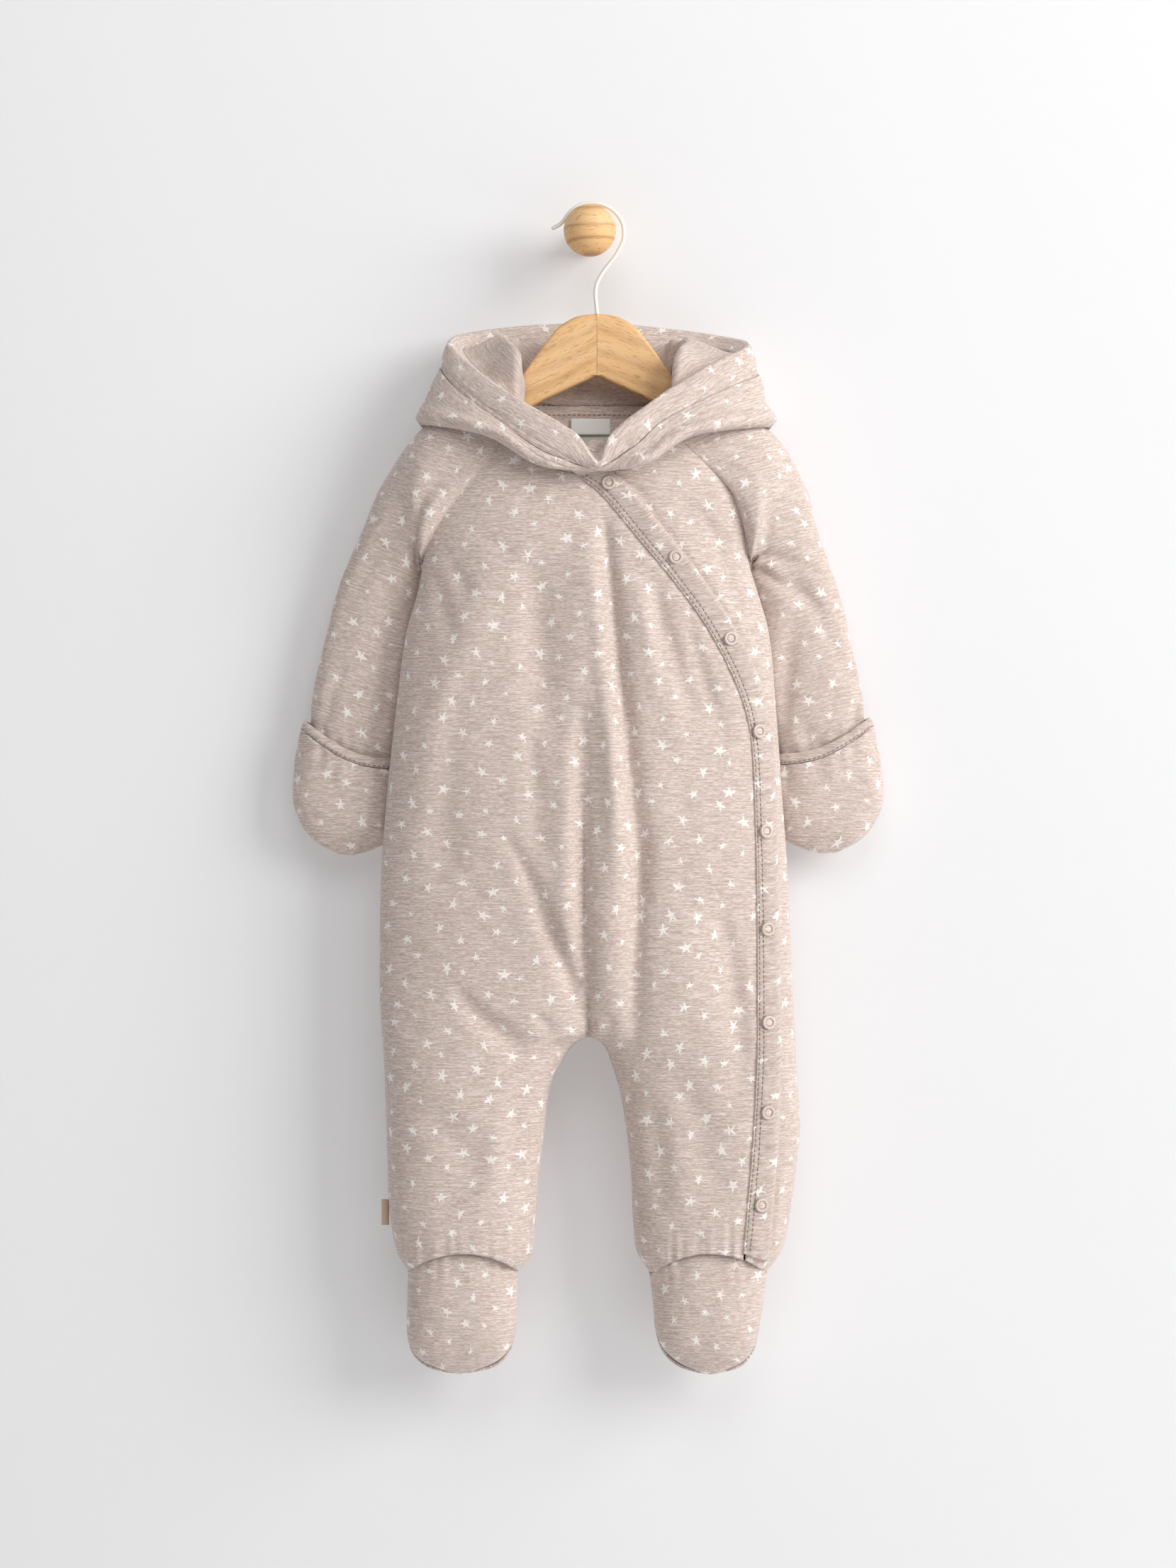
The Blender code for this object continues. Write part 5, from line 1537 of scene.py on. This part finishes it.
# ---- hood ----------------------------------------------------------------------------------
HOOD_STEPS = 260
HOOD_SHIFT = {"band": 3000.0, "outer": 3600.0, "lining": 4200.0}   # the pattern's own places
HOOD_STITCH = (1.9, 1.4, 0.55)   # a stitch's length, the gap after it and its thickness
BRIM_FACE_ROWS = 26
WALL_REST = -0.5        # where cloth lies against the wall
WALL_EASE = 1.2
BRIM_TURN = 0.75        # how far inside the brim is turned, as a share of the way to the dip
BRIM_ROWS = (0.80, 0.94)  # the brim's two stitch rows, as shares of its width


def hood_ring(table, first):
    """One of a table's rings, read all round: its x, y and z start at column `first`."""
    return around([row[first:first + 3] for row in table], np.arange(HOOD_STEPS) / HOOD_STEPS)


def against_wall(y):
    """Eases any depth that would pass into the wall back to just in front of it."""
    return WALL_REST - WALL_EASE * np.log1p(np.exp((WALL_REST - y) / WALL_EASE))


def hood_wrinkles(u, v, seed, depth):
    """Soft folds that run round the hood and drift, uneven in depth."""
    slow = 0.5 + 0.5 * np.sin(u * 2 * math.pi * 3 + seed)
    folds = depth * slow * np.sin(v * 7 + 3.0 * np.sin(u * 2 * math.pi * 2 + seed))
    return folds + 0.5 * ripple(u * 520, v * 60, 37.0, seed)


def build_hood():
    """Hood laid open round the hanger: folded brim band, outer with its overhang, plain lining."""
    rim, band, fold, neck = (hood_ring(HOOD, first) for first in (0, 3, 6, 9))
    dip, ridge, throat = (hood_ring(LINING, first) for first in (0, 3, 6))
    turned = rim + (dip - rim) * BRIM_TURN
    u, v = shares(BRIM_FACE_ROWS, HOOD_STEPS)
    puff = 1.3 * np.sin(math.pi * v) ** 0.7 + 0.5 * ripple(u * 520, v * 20, 44.0, 3.0)
    puff = puff - 0.8 * (bell(v - BRIM_ROWS[0], 0.05) + bell(v - BRIM_ROWS[1], 0.05))
    puff = puff + 0.3 * np.sin(u * 2 * math.pi * 61 + 2 * np.sin(u * 30)) * v**2
    face = press(rows_between([rim, band], BRIM_FACE_ROWS), -puff, -1.0)
    strip = np.concatenate([rows_between([turned, rim], 12)[:-1], face])
    cloth_piece("hood_band", strip, "jersey print", hood_uv(strip, HOOD_SHIFT["band"]), 1.1, ring=True)
    out = -grid_normals(face)
    rows = [round(share * (BRIM_FACE_ROWS - 1)) for share in BRIM_ROWS]
    stitches("hood_stitches",
             [stitch_row(closed(face[row]) + 0.2 * closed(out[row]), closed(out[row]), *HOOD_STITCH)
              for row in rows])
    shell = np.concatenate([rows_between([band + (fold - band) * 0.01, fold], 34),
                            rows_between([fold, neck], 16)[1:]])
    u, v = shares(len(shell), HOOD_STEPS)
    dents = np.sin(math.pi * np.clip(v * 1.35, 0, 1)) * hood_wrinkles(u, v, 1.0, 1.6)
    dents = dents - 2.4 * bell(v - 0.62, 0.14)
    turn = np.abs(np.mod(u + 0.5, 1.0) - 0.5)
    near_front = np.clip((turn - 0.022) * 60, 0, 1) * np.clip((0.17 - turn) * 18, 0, 1)
    dents = dents + 1.7 * near_front * bell(v - 0.36 - 0.8 * turn, 0.022)
    shell = press(shell, dents, -1.0)
    shell[..., 1] = against_wall(shell[..., 1])
    cloth_piece("hood_outer", shell, "jersey print", hood_uv(shell, HOOD_SHIFT["outer"]), WALL,
                ring=True)
    inside = np.concatenate([rows_between([turned, dip, ridge], 40),
                             rows_between([ridge, throat], 20)[1:]])
    u, v = shares(len(inside), HOOD_STEPS)
    pleats = 1.4 * np.sin(u * 2 * math.pi * 11 + 2.2 * np.sin(u * 2 * math.pi * 3) + v * 3)
    folds = np.sin(math.pi * v) * (pleats + 0.9 * ripple(u * 420, v * 70, 26.0, 5.0))
    inside = press(inside, folds + 0.8, -1.0)
    cloth_piece("hood_lining", inside, "jersey plain", hood_uv(inside, HOOD_SHIFT["lining"]), THIN,
                "hood_lining", ring=True, flip=True)


# ---- neck trimmings and tab ----------------------------------------------------------------
def neck_patch(left, right, top, low, cols, rows):
    """x and z of a patch of cloth in the back neck."""
    return np.meshgrid(np.linspace(left, right, cols), np.linspace(top, low, rows))


def inner_back(x, z, depth):
    """Points inside the back, in front of its middle surface."""
    return np.stack([x, back_y(x, z) - depth, z], -1)


def build_neck():
    """Inside the back neck: facing tape with two stitched rows, cream lining, blank label."""
    x, z = neck_patch(*NECK_SIDES, TAPE_TOP_Z, LINING_TOP_Z - 1.0, 60, 26)
    step = 0.7 / (1 + np.exp((TAPE_LOW_Z - z) * 4))
    grid = inner_back(x, z, NECK_INSIDE + step)
    # The facing takes the paler jersey copy: painted light in place of the shade inside the neck.
    cloth_piece("neck_facing", grid, "jersey painted light", np.stack([x, z], -1), THIN)
    line_x = np.linspace(NECK_SIDES[0] + 1.0, NECK_SIDES[1] - 1.0, 80)
    forward = np.tile([0.0, -1.0, 0.0], (80, 1))
    lines = [inner_back(line_x, np.full(80, level), NECK_INSIDE + 0.85)
             for level in (TAPE_TOP_Z - 2.0, TAPE_LOW_Z + 1.6)]
    stitches("neck_stitches", [stitch_row(line, forward) for line in lines])
    x, z = neck_patch(*NECK_SIDES, LINING_TOP_Z, LINING_LOW_Z, 60, 24)
    cloth_piece("back_lining", inner_back(x, z, NECK_INSIDE), "lining", np.stack([x, z], -1), THIN,
                "back_lining")
    half_w, half_h = LABEL["width"] / 2, LABEL["height"] / 2
    x, z = neck_patch(LABEL["x"] - half_w, LABEL["x"] + half_w,
                      LABEL["z"] + half_h, LABEL["z"] - half_h, 24, 10)
    grid = inner_back(x, z, NECK_INSIDE + 1.6)
    grid[..., 1] -= 0.5 * np.sin(np.linspace(0, math.pi, 24))[None] * np.linspace(0, 1, 10)[:, None]
    cloth_piece("neck_label", grid, "label", np.stack([x, z], -1), 0.5, "label")


def build_tab():
    """A folded tape standing out of the left leg's side seam."""
    half = TAB["thick"] / 2
    turn = np.linspace(-math.pi / 2, math.pi / 2, 14)
    bend = np.stack([-TAB["reach"] + half - half * np.cos(turn), half * np.sin(turn)], -1)
    section = np.concatenate([[[0.0, -half]], bend, [[0.0, half]]])
    levels = np.linspace(0.5, -0.5, 18)[:, None]
    bowed = MID_Y + section[:, 1] + 0.25 * np.sin(levels * 9)
    grid = np.stack(np.broadcast_arrays(TAB["x"] + section[:, 0], bowed,
                                        TAB["z"] + levels * TAB["height"]), -1)
    uv = np.stack([grid[..., 0] + grid[..., 1], grid[..., 2]], -1)
    cloth_piece("side_tab", grid, "tab", uv, 0.5, "tab", "folded")


# ---- hanger, hook and peg ------------------------------------------------------------------
def arm_outline():
    """The arm's outline: smooth stretches between its square mitre corners."""
    edge = np.linspace(ARM[-1][1], ARM[0][1], 14)[1:-1]
    mitre = np.stack([np.full(len(edge), ARM[0][0]), edge], -1)
    return np.concatenate([along(ARM, np.linspace(0, 1, 150)), mitre])


def build_hanger_arm(side):
    """One mitred half: its outline inset round a quarter turn at each face, closed by flat faces."""
    outline = arm_outline()
    way = np.roll(outline, -1, 0) - np.roll(outline, 1, 0)
    way /= np.maximum(np.linalg.norm(way, axis=1, keepdims=True), 1e-9)
    inward = np.stack([way[:, 1], -way[:, 0]], -1)
    inward *= np.sign(((outline.mean(0) - outline) * inward).sum(1).mean())
    mitred = np.abs(outline[:, 0] - ARM[0][0]) < 0.5
    soften = np.where(mitred, MITRE_SOFT, 1.0)[:, None]
    quarter = np.linspace(0, math.pi / 2, 8)
    rings = []
    for face, angles in ((-1.0, quarter), (1.0, quarter[::-1])):
        for a in angles:
            ring = outline + inward * (HANGER_EDGE * (1 - math.sin(a)) * soften)
            depth = face * (HANGER_THICK / 2 - HANGER_EDGE * (1 - math.cos(a)))
            rings.append(np.stack([HANGER_X - outward(side) * ring[:, 0],
                                   np.full(len(ring), HANGER_Y + depth), ring[:, 1]], -1))
    piece = capped_tube("hanger_" + side, np.array(rings), "wood " + side, side == "right",
                        HANGER_SHARP)
    fit(piece, "hanger_" + side)


def build_hook():
    """Painted wire: a tube along the hook's route with a rounded tip."""
    route = bent_through([(x, HANGER_Y, z) for x, z in HOOK], 220)
    way = (route[-1] - route[-2]) / np.linalg.norm(route[-1] - route[-2])
    tip = np.linspace(0, math.pi / 2, 8)[1:, None]
    radius = WIRE / 2 * np.concatenate([np.ones(len(route)), np.maximum(np.cos(tip[:, 0]), 0.05)])
    route = np.concatenate([route, route[-1] + way * np.sin(tip) * WIRE / 2])
    fit(capped_tube("hanger_hook", tube(route, radius, 20), "wire"), "hanger_hook")


def build_peg():
    """Turned peg: a ball on a short shank, its flat back on the wall."""
    angle = np.linspace(math.asin(PEG_RADIUS / BALL_RADIUS), math.pi - 0.004, 60)
    ball = np.stack([BALL_RADIUS * np.sin(angle), -BALL_Y - BALL_RADIUS * np.cos(angle)], -1)
    profile = np.concatenate([[[0.0, 0.0], [PEG_RADIUS, 0.0]], ball, [[0.0, -BALL_Y + BALL_RADIUS]]])
    grid = lathe(profile, 96)
    grid = np.stack([grid[..., 0], -grid[..., 2], grid[..., 1]], -1)
    piece = grid_piece("wall_peg", grid, "wood peg", grid[..., [0, 2]], ring=True, flip=True)[0]
    fit(piece, "wall_peg")


# ---- stage ---------------------------------------------------------------------------------
# Metres here.
CAMERA_PLACE = (-0.0012, -2.66, -0.3724)
VIEW_HEIGHT = 1.0507   # what the frame's height takes in at the suit
VIEW_PLANE = 2.60      # from the camera to the suit's front
SENSOR = 36.0
SUIT_MIDDLE = (0.0, -0.05, -0.38)
STAGE_HALF = 3.2
STAGE_HEIGHTS = (-1.12, 1.6)   # of the floor and of the wall's top
FLOOR_DEPTHS = (-4.0, 1.8)
WALL_Y = 0.0006
ROOM_COLOUR = (0.96, 0.965, 0.98, 1.0)
WALL_GLOW = 0.16       # soft light that the pale wall gives back into its own shadows


def backdrop(name, corners, colour, glow):
    """A pale plane seen only from its face, so that views from behind stay clear."""
    mesh = bpy.data.meshes.new(name)
    mesh.from_pydata(corners, [], [(0, 1, 2, 3)])
    made = linked(name, mesh)
    paint = Paint(name)
    paint.set("Base Color", (*colour, 1.0))
    paint.set("Emission Color", (*colour, 1.0))
    paint.set("Emission Strength", glow)
    paint.set("Roughness", 0.9)
    paint.set("Specular IOR Level", 0.1)
    clear = paint.node("ShaderNodeBsdfTransparent").outputs[0]
    side = paint.node("ShaderNodeNewGeometry").outputs["Backfacing"]
    mixed = paint.node("ShaderNodeMixShader", {}, {0: side, 1: paint.shader.outputs[0], 2: clear})
    paint.feed(paint.tree.nodes["Material Output"].inputs["Surface"], mixed.outputs[0])
    mesh.materials.append(paint.material)
    return made


def area_light(name, place, size, power, colour):
    """A square light aimed at the suit's middle."""
    light = bpy.data.lights.new(name, "AREA")
    light.shape = "RECTANGLE"
    light.size, light.size_y = size, size
    light.energy = power
    light.color = colour
    made = linked(name, light)
    made.location = place
    made.rotation_euler = (Vector(SUIT_MIDDLE) - Vector(place)).to_track_quat("-Z", "Y").to_euler()


def build_stage():
    """Wall, floor, soft light from the right and the camera at the photograph's angle."""
    look, scene = bpy.context.scene.pramsuit_look, bpy.context.scene
    wide, (low, high), (near, far) = STAGE_HALF, STAGE_HEIGHTS, FLOOR_DEPTHS
    wall = backdrop("backdrop_wall", [(-wide, WALL_Y, low), (wide, WALL_Y, low), (wide, WALL_Y, high),
                                      (-wide, WALL_Y, high)], look.wall, WALL_GLOW)
    wall.visible_shadow = False
    backdrop("floor", [(-wide, near, low), (wide, near, low), (wide, far, low), (-wide, far, low)],
             look.floor, 0.0)
    area_light("key", (3.2, -2.2, 1.15), 2.6, look.key_power, (1.0, 0.985, 0.965))
    area_light("fill", (0.1, -1.5, 0.75), 1.0, look.fill_power, (1.0, 0.99, 0.98))
    area_light("behind", (0.4, 2.2, 0.4), 2.0, look.back_power, (1.0, 1.0, 1.0))
    world = bpy.data.worlds.new("room")
    world.use_nodes = True
    air = world.node_tree.nodes["Background"].inputs
    air["Color"].default_value = ROOM_COLOUR
    air["Strength"].default_value = look.room_light
    scene.world = world
    camera = bpy.data.cameras.new("camera")
    camera.sensor_width = SENSOR
    camera.lens = SENSOR * VIEW_PLANE / VIEW_HEIGHT
    scene.camera = linked("camera", camera)
    scene.camera.location = CAMERA_PLACE
    scene.camera.rotation_euler = (math.radians(90), 0.0, 0.0)
    scene.view_settings.view_transform = "Standard"


# ---- add-on --------------------------------------------------------------------------------
def colour_property(name, default, description):
    return FloatVectorProperty(name=name, description=description, subtype="COLOR", size=3, min=0.0,
                               max=1.0, default=default)


def amount(name, default, description, unit="POWER"):
    return FloatProperty(name=name, description=description, default=default, min=0.0, unit=unit)


class PRAMSUIT_PG_look(PropertyGroup):
    """Colours and light of the pramsuit and its stage."""

    jersey: colour_property("Jersey", (0.755, 0.642, 0.588), "Middle tone of the heather jersey")
    jersey_dark: colour_property("Jersey dark", (0.490, 0.392, 0.345), "Darkest yarn in the heather")
    jersey_pale: colour_property("Jersey pale", (0.86, 0.775, 0.73), "Palest yarn in the heather")
    star: colour_property("Stars", (0.93, 0.90, 0.85), "Printed stars")
    lining: colour_property("Lining", (0.78, 0.78, 0.69), "Cream lining in the neck")
    # Topstitching: its dark tone is partly its own colour and partly painted shade of the needle holes.
    thread_and_hole_shade: colour_property("Thread", (0.36, 0.285, 0.255), "Topstitching thread")
    snap: colour_property("Snaps", (0.50, 0.40, 0.35), "Snap rings")
    wood: colour_property("Wood", (0.82, 0.505, 0.24), "Hanger and peg")
    wood_dark: colour_property("Wood grain", (0.46, 0.23, 0.10), "Dark bands and pores of the wood")
    wood_pale: colour_property("Wood pale", (0.88, 0.68, 0.43), "Pale areas of the wood")
    wire: colour_property("Wire", (0.69, 0.67, 0.60), "Painted hook")
    label: colour_property("Label", (0.93, 0.93, 0.91), "Blank neck label")
    tab: colour_property("Tab", (0.70, 0.56, 0.43), "Tab in the side seam")
    wall: colour_property("Wall", (0.725, 0.725, 0.737), "Backdrop")
    floor: colour_property("Floor", (0.84, 0.84, 0.84), "Floor")
    star_pitch: amount("Star spacing", 0.0182, "Distance between stars", "LENGTH")
    star_reach: amount("Star size", 0.0041, "Mean length of a star's arm", "LENGTH")
    key_power: amount("Key light", 148.0, "Light from the right")
    fill_power: amount("Fill light", 7.4, "Soft light from the front")
    back_power: amount("Back light", 17.0, "Light behind the wall")
    room_light: amount("Room light", 0.285, "Even light of the room", "NONE")


class BuildOperator:
    """Shared by every piece's operator: runs its builder once, or once for each side."""

    bl_options = {"REGISTER", "UNDO"}
    builder = None
    sides = ()

    def execute(self, context):
        for side in self.sides:
            type(self).builder(side)
        if not self.sides:
            type(self).builder()
        return {"FINISHED"}


class PRAMSUIT_OT_front(BuildOperator, Operator):
    """Build the two front panels"""

    bl_idname = "pramsuit.front"
    bl_label = "Front"
    builder = staticmethod(build_front)


class PRAMSUIT_OT_back(BuildOperator, Operator):
    """Build the back"""

    bl_idname = "pramsuit.back"
    bl_label = "Back"
    builder = staticmethod(build_back)


class PRAMSUIT_OT_placket(BuildOperator, Operator):
    """Build the placket band"""

    bl_idname = "pramsuit.placket"
    bl_label = "Placket"
    builder = staticmethod(build_placket)


class PRAMSUIT_OT_placket_stitches(BuildOperator, Operator):
    """Build the placket's topstitching"""

    bl_idname = "pramsuit.placket_stitches"
    bl_label = "Placket stitches"
    builder = staticmethod(build_placket_stitches)


class PRAMSUIT_OT_snaps(BuildOperator, Operator):
    """Build the snaps"""

    bl_idname = "pramsuit.snaps"
    bl_label = "Snaps"
    builder = staticmethod(build_snaps)


class PRAMSUIT_OT_sleeves(BuildOperator, Operator):
    """Build both sleeves"""

    bl_idname = "pramsuit.sleeves"
    bl_label = "Sleeves"
    builder = staticmethod(build_sleeve)
    sides = ("left", "right")


class PRAMSUIT_OT_mitts(BuildOperator, Operator):
    """Build both mitts and their hems"""

    bl_idname = "pramsuit.mitts"
    bl_label = "Mitts"
    builder = staticmethod(build_mitt)
    sides = ("left", "right")


class PRAMSUIT_OT_feet(BuildOperator, Operator):
    """Build both feet"""

    bl_idname = "pramsuit.feet"
    bl_label = "Feet"
    builder = staticmethod(build_foot)
    sides = ("left", "right")


class PRAMSUIT_OT_hood(BuildOperator, Operator):
    """Build the hood, its band and its lining"""

    bl_idname = "pramsuit.hood"
    bl_label = "Hood"
    builder = staticmethod(build_hood)


class PRAMSUIT_OT_neck(BuildOperator, Operator):
    """Build the back neck's facing, lining and label"""

    bl_idname = "pramsuit.neck"
    bl_label = "Neck"
    builder = staticmethod(build_neck)


class PRAMSUIT_OT_tab(BuildOperator, Operator):
    """Build the side tab"""

    bl_idname = "pramsuit.tab"
    bl_label = "Side tab"
    builder = staticmethod(build_tab)


class PRAMSUIT_OT_hanger(BuildOperator, Operator):
    """Build both hanger arms"""

    bl_idname = "pramsuit.hanger"
    bl_label = "Hanger"
    builder = staticmethod(build_hanger_arm)
    sides = ("left", "right")


class PRAMSUIT_OT_hook(BuildOperator, Operator):
    """Build the wire hook"""

    bl_idname = "pramsuit.hook"
    bl_label = "Hook"
    builder = staticmethod(build_hook)


class PRAMSUIT_OT_peg(BuildOperator, Operator):
    """Build the wall peg"""

    bl_idname = "pramsuit.peg"
    bl_label = "Peg"
    builder = staticmethod(build_peg)


class PRAMSUIT_OT_stage(BuildOperator, Operator):
    """Build the wall, floor, lights and camera"""

    bl_idname = "pramsuit.stage"
    bl_label = "Stage"
    builder = staticmethod(build_stage)


OPERATORS = (
    PRAMSUIT_OT_stage, PRAMSUIT_OT_front, PRAMSUIT_OT_back, PRAMSUIT_OT_placket,
    PRAMSUIT_OT_placket_stitches, PRAMSUIT_OT_snaps, PRAMSUIT_OT_sleeves, PRAMSUIT_OT_mitts,
    PRAMSUIT_OT_feet, PRAMSUIT_OT_hood,
    PRAMSUIT_OT_neck, PRAMSUIT_OT_tab, PRAMSUIT_OT_hanger, PRAMSUIT_OT_hook, PRAMSUIT_OT_peg,
)


class PRAMSUIT_PT_panel(Panel):
    """Lists the pramsuit's colours and its builders."""

    bl_label = "Pramsuit"
    bl_idname = "PRAMSUIT_PT_panel"
    bl_space_type = "VIEW_3D"
    bl_region_type = "UI"
    bl_category = "Pramsuit"

    def draw(self, context):
        layout = self.layout
        look = context.scene.pramsuit_look
        for name in look.__annotations__:
            layout.prop(look, name)
        for operator in OPERATORS:
            layout.operator(operator.bl_idname)


CLASSES = (PRAMSUIT_PG_look,) + OPERATORS + (PRAMSUIT_PT_panel,)


def register():
    for each in CLASSES:
        bpy.utils.register_class(each)
    bpy.types.Scene.pramsuit_look = PointerProperty(type=PRAMSUIT_PG_look)


def unregister():
    del bpy.types.Scene.pramsuit_look
    for each in reversed(CLASSES):
        bpy.utils.unregister_class(each)


def main():
    register()
    for operator in OPERATORS:
        group, name = operator.bl_idname.split(".")
        getattr(getattr(bpy.ops, group), name)()


if __name__ == "__main__":
    main()
